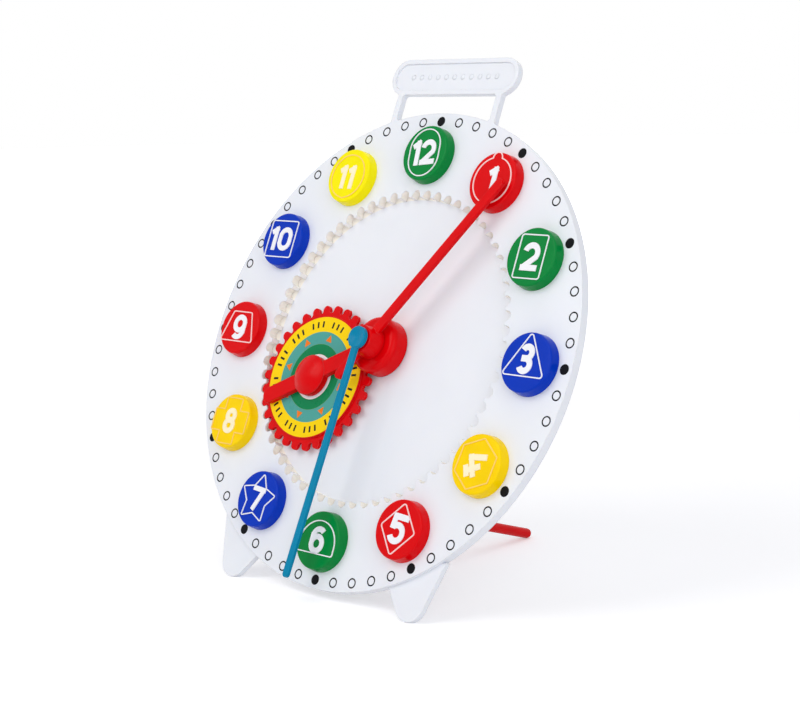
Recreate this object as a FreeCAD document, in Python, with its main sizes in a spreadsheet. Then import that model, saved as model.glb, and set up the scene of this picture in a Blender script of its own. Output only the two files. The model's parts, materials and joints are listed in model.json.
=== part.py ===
import FreeCAD, Part
import os
from math import acos, atan2, cos, degrees, hypot, pi, radians, sin

import Sketcher

# Geared teaching clock: a white moulded dial that leans back on one rod, with
# twelve loose number discs and a planet gear that carries the hour hand round.
# Lengths are in millimetres. Each piece is built in the dial's own frame, with
# x to the right, y up the face and z out of it, and the dial's centre at the
# origin. At the end every piece is stood on the ground in the row's frame.

SIZES = (
    ("dial_radius", 120.0, "outside of the round dial"),
    ("plate_thickness", 2.2, "wall of the dial's face"),
    ("skirt_depth", 4.7, "depth of the rim behind the face"),
    ("skirt_wall", 2.0, "wall of that rim"),
    ("rim_round", 1.5, "round front edge of the rim"),
    ("floor_depth", 4.8, "recess floor below the face"),
    ("floor_thickness", 2.0, "wall of that floor and of the cup round it"),
    ("mark_inset", 4.3, "middle of the minute marks inside the dial's edge"),
    ("mark_radius", 2.5, "outside of one minute mark"),
    ("mark_line", 0.8, "width of an open mark's line"),
    ("print_thickness", 0.15, "thickness of printed marks and of the label"),
    ("disc_gap", 1.1, "gap between the discs and the minute marks"),
    ("disc_radius", 14.6, "number disc at the face"),
    ("disc_draft", 0.6, "how much a disc narrows to its top"),
    ("disc_height", 5.4, "number disc above the face"),
    ("disc_round", 0.9, "round top edge of a disc"),
    ("peg_depth", 4.4, "shaped peg below a disc"),
    ("peg_clearance", 0.15, "gap round a peg in its hole"),
    ("outline_corner", 1.2, "round corners of the shaped outlines"),
    ("outline_line", 0.55, "width of the raised outline on a disc"),
    ("relief_height", 0.4, "raised numeral and outline above a disc"),
    ("digit_height", 13.4, "height of an ordinary numeral"),
    ("gear_gap", 5.02, "gap between the discs and the ring gear's pitch circle"),
    ("flank_clearance", 0.25, "gap between meshing teeth"),
    ("tip_clearance", 0.7, "gap between a tip and the root it meets"),
    ("planet_lift", 2.6, "gears above the recess floor"),
    ("planet_thickness", 1.8, "toothed part of the planet gear"),
    ("pad_inset", 2.0, "edge of the planet's raised plate inside its root"),
    ("pad_rise", 1.1, "raised plate above the teeth"),
    ("label_inset", 0.5, "edge of the round label inside that plate"),
    ("bearing_clearance", 0.07, "gap round a shaft that turns"),
    ("pin_radius", 3.0, "pin that carries the planet gear"),
    ("pin_flange_radius", 4.6, "foot of that pin"),
    ("pin_flange_thickness", 1.0, "thickness of the pin's foot"),
    ("pin_foot_lift", 0.2, "foot above the planet's underside"),
    ("foot_play", 0.2, "play over the foot and round it"),
    ("hour_gap", 0.6, "hour hand above the planet's plate"),
    ("hour_width", 8.0, "width of the hour hand"),
    ("hour_thickness", 3.2, "thickness of the hour hand"),
    ("hour_inset", 8.3, "gap between the hour hand's tip and the discs"),
    ("boss_radius", 10.2, "boss of the hour hand over the pin"),
    ("head_rise", 2.8, "domed head of the pin above that boss"),
    ("bell_gap", 3.42, "gap between the pinion's tips and the bell round it"),
    ("bell_wall", 2.3, "wall of the bell"),
    ("bell_rise", 3.9, "bell's top above the arm's underside"),
    ("bell_round", 3.0, "round top edge of the bell"),
    ("bell_lift", 0.5, "bell's lower edge above the recess floor"),
    ("bell_relief", 0.5, "gap from planet teeth to the cut bell wall"),
    ("pinion_rise", 0.3, "pinion's teeth end below the bell's roof"),
    ("sleeve_inset", 0.33, "sleeve inside the bottom of the pinion's hollows"),
    ("axle_head_rim", 3.7, "how far the axle's head stands out at the back"),
    ("axle_head_thickness", 1.6, "thickness of the axle's head"),
    ("axle_show", 0.4, "axle above the minute hand's hub"),
    ("thrust_inset", 0.2, "edge of the ring under the pinion inside the sleeve"),
    ("thrust_gap", 0.05, "play under the pinion"),
    ("minute_gap", 0.7, "minute hand above the pin's head"),
    ("minute_width", 4.9, "width of the minute hand"),
    ("minute_thickness", 2.0, "thickness of the minute hand"),
    ("minute_reach", 102.0, "minute hand from the dial's centre"),
    ("minute_tail", 24.0, "minute hand's other end"),
    ("hub_gap", 0.4, "minute hand's hub above the bell"),
    ("hub_wall", 3.4, "wall of the minute hand's hub round the sleeve"),
    ("hub_draft", 1.3, "how much the hub narrows to its top"),
    ("hub_rise", 5.8, "hub's top above the minute hand's underside"),
    ("hub_cap", 1.2, "wall over the sleeve's end"),
    ("second_gap", 0.7, "second hand above the minute hand's hub"),
    ("second_width", 3.6, "width of the second hand"),
    ("second_thickness", 1.9, "thickness of the second hand"),
    ("second_reach", 118.6, "second hand from the dial's centre"),
    ("knob_radius", 5.45, "knob of the second hand"),
    ("knob_height", 2.3, "height of that knob"),
    ("dimple_depth", 0.9, "hollow in the knob's top"),
    ("stem_length", 8.0, "length of the second hand's stem"),
    ("stem_clearance", 0.05, "gap round the stem in the axle"),
    ("hand_edge", 0.5, "round edges of the hands"),
    ("handle_width", 84.0, "width of the handle's plate"),
    ("handle_height", 18.7, "height of the handle's plate"),
    ("handle_gap", 10.05, "gap for fingers between that plate and the dial"),
    ("handle_thickness", 3.2, "thickness of the handle and its posts"),
    ("handle_border", 2.3, "raised border of the handle's plate"),
    ("handle_sink", 0.8, "panel below that border"),
    ("post_inset", 8.9, "middle of each post inside the end of the plate"),
    ("post_width", 3.4, "width of each post"),
    ("post_round", 1.6, "round inner corners of the posts"),
    ("foot_front", 1.9, "front of the feet below the face"),
    ("foot_place", 60.7, "foot's round end from the dial's middle"),
    ("foot_rise", 4.7, "foot's round end above the dial's lowest point"),
    ("foot_radius", 8.9, "radius of the foot's round end"),
    ("foot_outer_run", 15.3, "from there out to where the outer edge leaves the rim"),
    ("foot_outer_rise", 26.0, "height of that place above the dial's lowest point"),
    ("foot_inner_run", 19.7, "from the round end in to where the inner edge leaves"),
    ("foot_inner_rise", 15.0, "height of that place above the dial's lowest point"),
    ("foot_trim", 0.9, "how much of the round end the ground cuts off"),
    ("rod_radius", 2.65, "rod that the clock leans on"),
    ("rod_inset", 6.53, "rod's root inside the edge of the gear floor"),
    ("rod_reach", 142.0, "centre of the rod's round end behind the face"),
    ("rod_rise", 14.4, "centre of the round end above the rod's root"),
    ("socket_wall", 2.6, "wall of the rod's socket"),
    ("socket_depth", 11.0, "depth of that socket behind the dial"),
    ("socket_clearance", 0.05, "gap round the rod in its socket"),
    ("overrun", 5.0, "how far a cut runs past what it cuts"),
)

MINUTES = 60
DISCS = 12
RING_TEETH, PLANET_TEETH, SUN_TEETH = 66, 30, 6
HOUR_ANGLE = 240 + 35 / DISCS
MINUTE_ANGLE = 35.0
SECOND_ANGLE = 182.0

# How far each disc is turned in its hole and how far its hole is turned. The
# six-sided disc went in one side further round than its hole was drawn.
DISC_TURN = {4: -68.6, 5: -3.5, 7: -5.0, 12: 6.0}
HOLE_TURN = {4: -8.6, 5: -3.5, 7: -5.0, 12: 6.0}

# The planet's teeth as shares of the module: a round tooth's radius, how far
# its centre lies inside the pitch circle and how far the root does.
LOBE_SHARE, LOBE_INSET_SHARE, ROOT_INSET_SHARE = 0.9534, 0.1483, 0.8475

# The axle as a share of the sleeve round it, and the stem as one of the axle.
AXLE_SHARE, STEM_SHARE = 0.6087, 0.5714

# Values that follow from the sizes above, from the dial's edge inwards.
WORKED_OUT = (
    ("mark_circle", "=dial_radius - mark_inset", "circle of the minute marks"),
    (
        "disc_circle", "=mark_circle - mark_radius - disc_gap - disc_radius",
        "circle of the number discs",
    ),
    (
        "gear_module", f"=(disc_circle - disc_radius - gear_gap) * 2 / {RING_TEETH}",
        "pitch diameter of a gear over its teeth",
    ),
    ("lobe_radius", f"=gear_module * {LOBE_SHARE}", "round tooth of the planet gear"),
    (
        "lobe_inset", f"=gear_module * {LOBE_INSET_SHARE}",
        "tooth centre inside the planet's pitch circle",
    ),
    (
        "root_inset", f"=gear_module * {ROOT_INSET_SHARE}",
        "planet's root inside its pitch circle",
    ),
    (
        "ring_root",
        f"=gear_module * {RING_TEETH / 2} - lobe_inset + lobe_radius + flank_clearance",
        "bottom of the hollows between the ring's teeth",
    ),
    ("floor_radius", "=ring_root + floor_thickness", "edge of the gear floor"),
    (
        "pad_radius", f"=gear_module * {PLANET_TEETH / 2} - root_inset - pad_inset",
        "raised plate on the planet gear",
    ),
    ("label_radius", "=pad_radius - label_inset", "round label on the raised plate"),
    (
        "pinion_root",
        f"=gear_module * {SUN_TEETH / 2} + lobe_inset - lobe_radius - flank_clearance",
        "bottom of the pinion's hollows",
    ),
    (
        "pinion_tip", f"=gear_module * {SUN_TEETH / 2} + root_inset - tip_clearance",
        "tips of the pinion's teeth",
    ),
    ("sleeve_radius", "=pinion_root - sleeve_inset", "sleeve above the pinion"),
    ("axle_radius", f"=sleeve_radius * {AXLE_SHARE}", "fixed centre axle"),
    ("stem_radius", f"=axle_radius * {STEM_SHARE}", "stem of the second hand"),
    ("axle_head_radius", "=axle_radius + axle_head_rim", "head of the axle at the back"),
    ("thrust_radius", "=sleeve_radius - thrust_inset", "ring on the floor under the pinion"),
    ("hub_radius", "=sleeve_radius + hub_wall", "foot of the minute hand's hub"),
    ("bell_radius", "=pinion_tip + bell_gap + bell_wall", "bell of the hour hand"),
    (
        "hour_reach", "=disc_circle - disc_radius - hour_inset",
        "hour hand from the dial's centre",
    ),
    ("hour_half", "=hour_width / 2", "half of the hour hand's width"),
    ("minute_half", "=minute_width / 2", "half of the minute hand's width"),
    ("second_half", "=second_width / 2", "half of the second hand's width"),
    (
        "dome_radius", "=(boss_radius ^ 2 + head_rise ^ 2) / (2 * head_rise)",
        "sphere of the pin's domed head",
    ),
    (
        "handle_place", "=dial_radius + handle_gap + handle_height / 2",
        "middle of the handle's plate above the dial's centre",
    ),
    (
        "post_place", "=handle_width / 2 - post_inset",
        "middle of each post from the dial's middle",
    ),
    ("foot_drop", "=dial_radius - foot_rise", "foot's round end below the dial's centre"),
    ("foot_outer_place", "=foot_place + foot_outer_run", "foot's outer edge at the rim"),
    ("foot_outer_drop", "=dial_radius - foot_outer_rise", "that place below the centre"),
    ("foot_inner_place", "=foot_place - foot_inner_run", "foot's inner edge at the rim"),
    ("foot_inner_drop", "=dial_radius - foot_inner_rise", "that place below the centre"),
    ("rod_root_drop", "=floor_radius - rod_inset", "rod's root below the dial's centre"),
    (
        "rod_end_drop", "=rod_root_drop - rod_rise",
        "centre of the rod's round end below the dial's centre",
    ),
)

doc = FreeCAD.newDocument("teaching_clock")
sizes = doc.addObject("Spreadsheet::Sheet", "sizes")
for row, (alias, value, note) in enumerate(SIZES + WORKED_OUT, 1):
    sizes.set(f"A{row}", note)
    sizes.set(f"B{row}", str(value))
    sizes.setAlias(f"B{row}", alias)
doc.recompute()


def size(alias):
    return float(sizes.get(alias))


def length(text):
    """Work out a sum of the sheet's names, such as "hour_reach - hour_width"."""
    total, sign = 0.0, 1
    for word in text.split():
        if word in "+-":
            sign = 1 if word == "+" else -1
        elif word != "0":
            total += sign * size(word)
    return total


def bind(thing, field, text):
    """Tie a field of an object to a sum of the sheet's names."""
    words = [w if w in "+-0" else "sizes." + w for w in text.split()]
    thing.setExpression(field, " ".join(words))


def minus(text):
    """The same sum with every sign turned round."""
    words = text.split()
    if words[0] not in "+-":
        words.insert(0, "+")
    return " ".join({"+": "-", "-": "+"}.get(w, w) for w in words)


# Heights over the face, each on top of the one below it.
FLOOR = "- floor_depth"
FLOOR_BACK = "- floor_depth - floor_thickness"
GEAR_FOOT = "- floor_depth + planet_lift"
GEAR_TOP = GEAR_FOOT + " + planet_thickness"
PAD_TOP = GEAR_TOP + " + pad_rise"
HOUR_FOOT = PAD_TOP + " + hour_gap"
HOUR_TOP = HOUR_FOOT + " + hour_thickness"
HEAD_TOP = HOUR_TOP + " + head_rise"
BELL_TOP = HOUR_FOOT + " + bell_rise"
PINION_TOP = HOUR_FOOT + " - pinion_rise"
MINUTE_FOOT = HEAD_TOP + " + minute_gap"
HUB_TOP = MINUTE_FOOT + " + hub_rise"
SLEEVE_TOP = HUB_TOP + " - hub_cap"
SECOND_FOOT = HUB_TOP + " + second_gap"

# How close two heights lie that count as one, as a share of the overrun.
TOUCH_SHARE = 2e-5


# Sketches and bodies.


def outline(body, plane, points, low="0"):
    """Draw a closed sketch through points given as pairs of sums.

    A third entry gives the height of an arc's centre, and the way to the next
    point is then that arc, turning to the left.
    """
    sketch = body.newObject("Sketcher::SketchObject", body.Name + "_outline")
    origin = [f for f in body.Origin.OriginFeatures if f.Role == plane][0]
    sketch.AttachmentSupport = (origin, [""])
    sketch.MapMode = "FlatFace"
    if low != "0":
        bind(sketch, ".AttachmentOffset.Base.z", low)
    spots = [FreeCAD.Vector(length(p[0]), length(p[1]), 0) for p in points]
    count = len(points)
    for at, point in enumerate(points):
        here, there = spots[at], spots[(at + 1) % count]
        if len(point) < 3:
            sketch.addGeometry(Part.LineSegment(here, there))
            continue
        middle, way = (here + there) * 0.5, there - here
        rise = length(point[2]) - middle.y
        centre = middle + FreeCAD.Vector(-rise * way.y / way.x, rise, 0)
        start = atan2(here.y - centre.y, here.x - centre.x)
        end = atan2(there.y - centre.y, there.x - centre.x)
        circle = Part.Circle(centre, FreeCAD.Vector(0, 0, 1), (here - centre).Length)
        sketch.addGeometry(Part.ArcOfCircle(circle, start, end))
    for at in range(count):
        after = (at + 1) % count
        sketch.addConstraint(Sketcher.Constraint("Coincident", at, 2, after, 1))
    for at, point in enumerate(points):
        pairs = [("DistanceX", 1, point[0]), ("DistanceY", 1, point[1])]
        pairs += [("DistanceY", 3, point[2])] if len(point) > 2 else []
        for kind, spot, text in pairs:
            rule = Sketcher.Constraint(kind, -1, 1, at, spot, length(text))
            bind(sketch, f"Constraints[{sketch.addConstraint(rule)}]", text)
    return sketch


def new_body(name):
    return doc.addObject("PartDesign::Body", name)


def worked(body):
    """Work out one body with what it holds, and nothing else."""
    doc.recompute(list(body.Group) + [body])
    return body


def revolved(name, points):
    """Turn an outline of (radius, height) points once round the height axis."""
    body = new_body(name)
    sketch = outline(body, "XZ_Plane", points)
    turn = body.newObject("PartDesign::Revolution", name + "_turn")
    turn.Profile = sketch
    turn.ReferenceAxis = (sketch, ["V_Axis"])
    turn.Angle = 360
    body.Tip = turn
    return worked(body)


def padded(name, points, low, thick):
    """Raise an outline drawn on the face's plane at one height."""
    body = new_body(name)
    sketch = outline(body, "XY_Plane", points, low)
    pad = body.newObject("PartDesign::Pad", name + "_pad")
    pad.Profile = sketch
    bind(pad, "Length", thick)
    body.Tip = pad
    return worked(body)


def rounded(body, radius, wanted):
    """Round those edges of a body's last feature that the test picks out."""
    base = body.Tip
    names = [f"Edge{n}" for n, e in enumerate(base.Shape.Edges, 1) if wanted(e)]
    fillet = body.newObject("PartDesign::Fillet", base.Name + "_round")
    fillet.Base = (base, names)
    bind(fillet, "Radius", radius)
    body.Tip = fillet
    return worked(body)


def at_height(text):
    """A test for edges that lie at one height."""
    high, near = length(text), size("overrun") * TOUCH_SHARE

    def wanted(edge):
        box = edge.BoundBox
        return abs(box.ZMin - high) < near and abs(box.ZMax - high) < near

    return wanted


def arm(name, half, tail, reach, low, thick):
    """A flat bar along y with round ends, tail and reach from the centre."""
    foot, top = f"- {tail} + {half}", f"{reach} - {half}"
    points = [
        (half, foot),
        (half, top, top),
        (minus(half), top),
        (minus(half), foot, foot),
    ]
    if tail == "0":
        points[0] = (half, "0")
        points[3] = (minus(half), "0")
    return padded(name, points, low, thick)


# Plain solids and how they join.


def cylinder(name, radius, low, tall, x="0", y="0"):
    thing = doc.addObject("Part::Cylinder", name)
    bind(thing, "Radius", radius)
    bind(thing, "Height", tall)
    for axis, text in zip("xyz", (x, y, low)):
        bind(thing, f".Placement.Base.{axis}", text)
    return thing


def feature(name, shape):
    """An object for a shape that is worked out point by point."""
    thing = doc.addObject("Part::Feature", name)
    thing.Shape = shape
    return thing


def fuse(name, *things):
    joined = doc.addObject("Part::MultiFuse", name)
    joined.Shapes = list(things)
    doc.recompute(list(things) + [joined])
    return joined


def cut(name, base, tool):
    rest = doc.addObject("Part::Cut", name)
    rest.Base, rest.Tool = base, tool
    doc.recompute([base, tool, rest])
    return rest


# Flat outlines.

NEAR_SHARE = 0.99


def vec(x, y, z=0.0):
    return FreeCAD.Vector(x, y, z)


def polar(radius, angle):
    return vec(radius * cos(angle), radius * sin(angle))


def polygon(points):
    return Part.Face(Part.makePolygon([vec(*p) for p in points] + [vec(*points[0])]))


def disc(radius, centre=None):
    circle = Part.Circle(centre or vec(0, 0), vec(0, 0, 1), radius)
    return Part.Face(Part.Wire(circle.toShape()))


def flat(shape):
    """The first face of a shape, for what takes a single face."""
    return shape.Faces[0]


def united(faces):
    """One clean face from several that overlap, by way of thick ones."""
    up = vec(0, 0, size("overrun"))
    slabs = [face.extrude(up) for face in faces]
    whole = slabs[0].multiFuse(slabs[1:]).removeSplitter()
    high = [f for f in whole.Faces if f.BoundBox.ZMin > up.z * NEAR_SHARE]
    if len(high) != 1:
        raise RuntimeError(f"{len(high)} faces where one was meant")
    high[0].translate(-up)
    return high[0]


def grown(face, by):
    """The same outline moved outwards, or inwards where the step is negative."""
    return flat(flat(face).makeOffset2D(by))


def softened(face, radius):
    """The same outline with its outer corners rounded."""
    return grown(grown(face, -radius), radius)


def tube_line(face, width):
    """A line of one width that follows an outline."""
    return grown(face, width / 2).cut(grown(face, -width / 2))


def prism(face, low, tall):
    solid = face.extrude(vec(0, 0, tall))
    solid.translate(vec(0, 0, low))
    return solid


def bar(start, end, width):
    """A straight stroke from one place to another."""
    (x0, y0), (x1, y1) = start, end
    way = vec(x1 - x0, y1 - y0).normalize()
    side, along = vec(-way.y, way.x) * (width / 2), way * (width / 2)
    a, b = vec(x0, y0) - along, vec(x1, y1) + along
    corners = [a - side, b - side, b + side, a + side]
    return polygon([(c.x, c.y, 0) for c in corners])


def band(centre, radius, first, last, width):
    """A stroke along an arc, from one angle to another in degrees."""
    middle = vec(*centre)
    outer, inner = radius + width / 2, radius - width / 2
    if last - first >= 360:
        return disc(outer, middle).cut(disc(inner, middle))
    angles = [radians(a) for a in (first, (first + last) / 2, last)]
    far = [middle + polar(outer, a) for a in angles]
    near = [middle + polar(inner, a) for a in angles]
    edges = [
        Part.Arc(*far).toShape(),
        Part.makeLine(far[2], near[2]),
        Part.Arc(*reversed(near)).toShape(),
        Part.makeLine(near[0], far[0]),
    ]
    return Part.Face(Part.Wire(edges))


# Numerals.

# Each digit's strokes as shares of its height, drawn by hand: a straight
# stroke has two places, a round one has a centre, a radius and two angles.
STROKE_SHARE = 0.21
DIGIT_SHARES = {
    "0": (
        ((-0.285, 0.11), (-0.285, -0.11)),
        ((0.285, 0.11), (0.285, -0.11)),
        ((0, 0.11), 0.285, 0, 180),
        ((0, -0.11), 0.285, 180, 360),
    ),
    "1": (((0.06, 0.395), (0.06, -0.395)), ((0.06, 0.395), (-0.10, 0.30))),
    "2": (
        ((0, 0.125), 0.27, -35, 165),
        ((0.2, -0.04), (-0.2, -0.36)),
        ((-0.24, -0.395), (0.27, -0.395)),
    ),
    "3": (
        ((-0.01, 0.205), 0.19, -90, 155),
        ((-0.01, -0.19), 0.205, -155, 90),
        ((-0.08, 0.015), (-0.01, 0.015)),
    ),
    "4": (
        ((-0.12, 0.40), (-0.275, -0.14)),
        ((-0.275, -0.147), (0.32, -0.147)),
        ((0.13, 0.09), (0.13, -0.38)),
        ((0.03, -0.405), (0.23, -0.405)),
    ),
    "5": (
        ((-0.20, 0.395), (0.26, 0.395)),
        ((-0.215, 0.36), (-0.235, 0.09)),
        ((-0.02, -0.135), 0.26, -155, 140),
    ),
    "6": (
        ((0, -0.135), 0.26, 0, 360),
        ((0.02, 0.115), 0.28, 45, 180),
        ((-0.26, 0.13), (-0.26, -0.13)),
    ),
    "7": (((-0.27, 0.395), (0.26, 0.395)), ((0.22, 0.33), (-0.06, -0.40))),
    "8": (((0, 0.2), 0.195, 0, 360), ((0, -0.175), 0.22, 0, 360)),
}
DIGIT_SHARES["9"] = tuple(
    (((-s[0][0], -s[0][1]), s[1], s[2] + 180, s[3] + 180) if len(s) == 4
     else ((-s[0][0], -s[0][1]), (-s[1][0], -s[1][1])))
    for s in DIGIT_SHARES["6"]
)

# Each number's digits with their middles and heights as shares of the
# ordinary numeral's height, across, up and tall.
NUMERAL_SHARES = {
    1: (("1", 0.02, 0, 1.0),),
    2: (("2", 0, 0, 1.01),),
    3: (("3", 0, 0.11, 1.06),),
    4: (("4", 0, 0, 1.01),),
    5: (("5", 0, 0, 1.07),),
    6: (("6", 0, 0, 0.99),),
    7: (("7", 0, 0, 0.9),),
    8: (("8", 0, 0, 0.99),),
    9: (("9", 0, 0, 0.99),),
    10: (("1", -0.42, 0, 0.94), ("0", 0.19, 0, 0.94)),
    11: (("1", -0.25, -0.075, 0.92), ("1", 0.2, -0.075, 0.92)),
    12: (("1", -0.38, 0, 0.97), ("2", 0.18, 0, 0.97)),
}


def digit(sign, across, up, tall):
    """The face or faces of one digit."""
    width = STROKE_SHARE * tall
    faces = []
    for stroke in DIGIT_SHARES[sign]:
        if len(stroke) == 2:
            start, end = [(x * tall + across, y * tall + up) for x, y in stroke]
            faces.append(bar(start, end, width))
        else:
            (x, y), radius, first, last = stroke
            middle = (x * tall + across, y * tall + up)
            faces.append(band(middle, radius * tall, first, last, width))
    return united(faces)


# Shaped outlines of the twelve pegs.

# Corners as shares of the disc's radius, drawn by hand.
SHAPE_SHARES = {
    2: ((-0.538, -0.712), (0.538, -0.712), (0.538, 0.712), (-0.538, 0.712)),
    3: ((-0.84, -0.445), (0.84, -0.445), (0, 0.965)),
    5: ((0.75, 0), (0, 0.85), (-0.75, 0), (0, -0.85)),
    8: (
        (0.397, -0.815), (0.397, -0.384), (0.856, -0.384), (0.856, 0.384),
        (0.397, 0.384), (0.397, 0.815), (-0.397, 0.815), (-0.397, 0.384),
        (-0.856, 0.384), (-0.856, -0.384), (-0.397, -0.384), (-0.397, -0.815),
    ),
    9: ((-0.836, -0.514), (0.836, -0.514), (0.473, 0.562), (-0.473, 0.562)),
    10: ((-0.661, -0.661), (0.661, -0.661), (0.661, 0.661), (-0.661, 0.661)),
}
ROUND_SHARE, KNOB_SHARE, KNOB_TOP_SHARE = 0.774, 0.192, 0.952
HEXAGON_SHARE = 0.83
DOME_SHARE, DOME_FOOT_SHARE = 0.83, 0.445
DOME_SIDE_SHARE = 0.255
STAR_SHARE, STAR_WAIST_SHARE = 0.86, 0.5
DROP_SHARE, DROP_PLACE_SHARE, DROP_POINT_SHARE = 0.77, -0.03, 0.83
OVAL_SHARE, OVAL_END_SHARE = 0.658, 0.17


def tangent_from(point, centre, radius, side):
    """Where a line from a point touches a circle, on one side."""
    away = vec(point.x - centre.x, point.y - centre.y)
    turn = acos(radius / away.Length) * side
    return centre + polar(radius, atan2(away.y, away.x) + turn)


def regular(count, outer, inner=None):
    """A polygon or star with one corner at the top."""
    steps = count * (2 if inner else 1)
    return polygon([
        tuple(polar(inner if inner and n % 2 else outer, pi / 2 + 2 * pi * n / steps))
        for n in range(steps)
    ])


def shape_face(number):
    """The outline of one number's peg, upright, about the disc's centre."""
    whole = size("disc_radius")
    corner = size("outline_corner")
    if number == 1:
        knob = KNOB_SHARE * whole
        place = vec(0, KNOB_TOP_SHARE * whole - knob)
        neck = bar((0, 0), (0, place.y - knob), knob)
        return united([disc(ROUND_SHARE * whole), disc(knob, place), neck])
    if number == 4:
        return softened(regular(6, HEXAGON_SHARE * whole), corner / 2)
    if number == 6:
        radius = DOME_SHARE * whole
        foot, side = -DOME_FOOT_SHARE * whole, DOME_SIDE_SHARE * whole
        top = foot + side
        edges = [
            Part.makeLine(vec(-radius, foot), vec(radius, foot)),
            Part.makeLine(vec(radius, foot), vec(radius, top)),
            Part.Arc(vec(radius, top), vec(0, top + radius), vec(-radius, top)).toShape(),
            Part.makeLine(vec(-radius, top), vec(-radius, foot)),
        ]
        return softened(Part.Face(Part.Wire(edges)), corner)
    if number == 7:
        return softened(regular(5, STAR_SHARE * whole, STAR_WAIST_SHARE * whole), corner / 2)
    if number == 11:
        radius, middle = DROP_SHARE * whole, vec(0, DROP_PLACE_SHARE * whole)
        point = vec(0, -DROP_POINT_SHARE * whole)
        right = tangent_from(point, middle, radius, 1)
        left = tangent_from(point, middle, radius, -1)
        edges = [
            Part.makeLine(point, right),
            Part.Arc(right, middle + vec(0, radius), left).toShape(),
            Part.makeLine(left, point),
        ]
        return softened(Part.Face(Part.Wire(edges)), corner)
    if number == 12:
        radius, end = OVAL_SHARE * whole, OVAL_END_SHARE * whole
        side = [(-radius, -end), (radius, -end), (radius, end), (-radius, end)]
        ends = [disc(radius, vec(0, end)), disc(radius, vec(0, -end))]
        return united([polygon(side)] + ends)
    points = [(x * whole, y * whole) for x, y in SHAPE_SHARES[number]]
    return softened(polygon(points), corner if number != 8 else corner / 2)


# Gear outlines.


def pitch(teeth):
    return size("gear_module") * teeth / 2


def planet_face():
    """Thirty round lobes joined by round hollows."""
    radius, lobe = pitch(PLANET_TEETH), size("lobe_radius")
    ring = radius - size("lobe_inset")
    root = radius - size("root_inset")
    step = pi / PLANET_TEETH
    across, aside = ring * cos(step), ring * sin(step)
    rise = root - across
    hollow = (rise ** 2 - (lobe ** 2 - aside ** 2)) / (2 * (lobe - rise))
    edges = []
    for n in range(PLANET_TEETH):
        angle = 2 * step * n
        middle = polar(ring, angle)
        gaps = [polar(root + hollow, angle + side * step) for side in (-1, 1)]
        share = lobe / (lobe + hollow)
        low, high = [middle + (gap - middle) * share for gap in gaps]
        tip = polar(ring + lobe, angle)
        edges.append(Part.Arc(low, tip, high).toShape())
        after = polar(ring, angle + 2 * step)
        there = after + (gaps[1] - after) * share
        edges.append(Part.Arc(high, polar(root, angle + step), there).toShape())
    return Part.Face(Part.Wire(edges))


def planet_tip():
    return pitch(PLANET_TEETH) - size("lobe_inset") + size("lobe_radius")


def planet_root():
    return pitch(PLANET_TEETH) - size("root_inset")


CARRIER = pitch(RING_TEETH) - pitch(PLANET_TEETH)
RING_TIP = CARRIER + planet_root() + size("tip_clearance")
FLANK_POINTS = 12

# The widest roll, in radians, at which a flank is looked for, and how finely.
RING_ROLL, SUN_ROLL, ROLL_STEP = 0.2, 0.75, 1e-9


def hollow_point(t, teeth, side):
    """A point of the hollow that a lobe sweeps in a gear, at the roll t.

    The side is 1 for the ring round the planet and -1 for the pinion.
    """
    ring = pitch(PLANET_TEETH) - size("lobe_inset")
    ratio = 1 - side * teeth / PLANET_TEETH
    lobe = polar(CARRIER, t) + polar(ring, t * ratio) * side
    contact = polar(pitch(teeth), t)
    away = lobe - contact
    reach = size("lobe_radius") + size("flank_clearance")
    return lobe - away * (reach / away.Length)


def gear_face(teeth, tip, side, widest):
    """An outline of swept hollows joined by arcs on the tip circle."""

    def beyond(t):
        return (hollow_point(t, teeth, side).Length - tip) * side

    inside, outside = 0.0, widest
    while outside - inside > ROLL_STEP:
        middle = (inside + outside) / 2
        inside, outside = (middle, outside) if beyond(middle) > 0 else (inside, middle)
    rolls = [inside * (2 * n / FLANK_POINTS - 1) for n in range(FLANK_POINTS + 1)]
    hollow = [hollow_point(t, teeth, side) for t in rolls]
    if atan2(hollow[0].y, hollow[0].x) > 0:
        hollow.reverse()
    step = 2 * pi / teeth
    last = atan2(hollow[-1].y, hollow[-1].x)
    edges = []
    for n in range(teeth):
        turn = FreeCAD.Rotation(vec(0, 0, 1), degrees(n * step))
        points = [turn.multVec(p) for p in hollow]
        curve = Part.BSplineCurve()
        curve.interpolate(points)
        edges.append(curve.toShape())
        after = FreeCAD.Rotation(vec(0, 0, 1), degrees((n + 1) * step)).multVec(hollow[0])
        middle = polar(tip, n * step + (last + (step - last)) / 2)
        edges.append(Part.Arc(points[-1], middle, after).toShape())
    return Part.Face(Part.Wire(edges))


GAP_ANGLE = radians(90 - HOUR_ANGLE)


def turned(shape, angle, centre=None):
    """The same shape turned about a line out of the face, angle in degrees."""
    shape = shape.copy()
    shape.rotate(centre or vec(0, 0), vec(0, 0, 1), angle)
    return shape


# The dial's ring: face, rim, and the wall that carries the ring gear's teeth.

shell = revolved("dial_shell", [
    ("0", FLOOR),
    ("floor_radius", FLOOR),
    ("floor_radius", "- plate_thickness"),
    ("dial_radius - skirt_wall", "- plate_thickness"),
    ("dial_radius - skirt_wall", "- skirt_depth"),
    ("dial_radius", "- skirt_depth"),
    ("dial_radius", "0"),
    ("0", "0"),
])
rounded(shell, "rim_round", at_height("0"))

ring_gap = turned(gear_face(RING_TEETH, RING_TIP, 1, RING_ROLL), degrees(GAP_ANGLE))
recess = feature("ring_gear_recess", prism(
    ring_gap, length(FLOOR + " - overrun"), length("floor_depth + overrun + overrun")
))

half_wide = size("handle_width") / 2 - size("handle_height") / 2
pill_height = size("handle_height") / 2
pill_place = size("handle_place")


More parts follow.
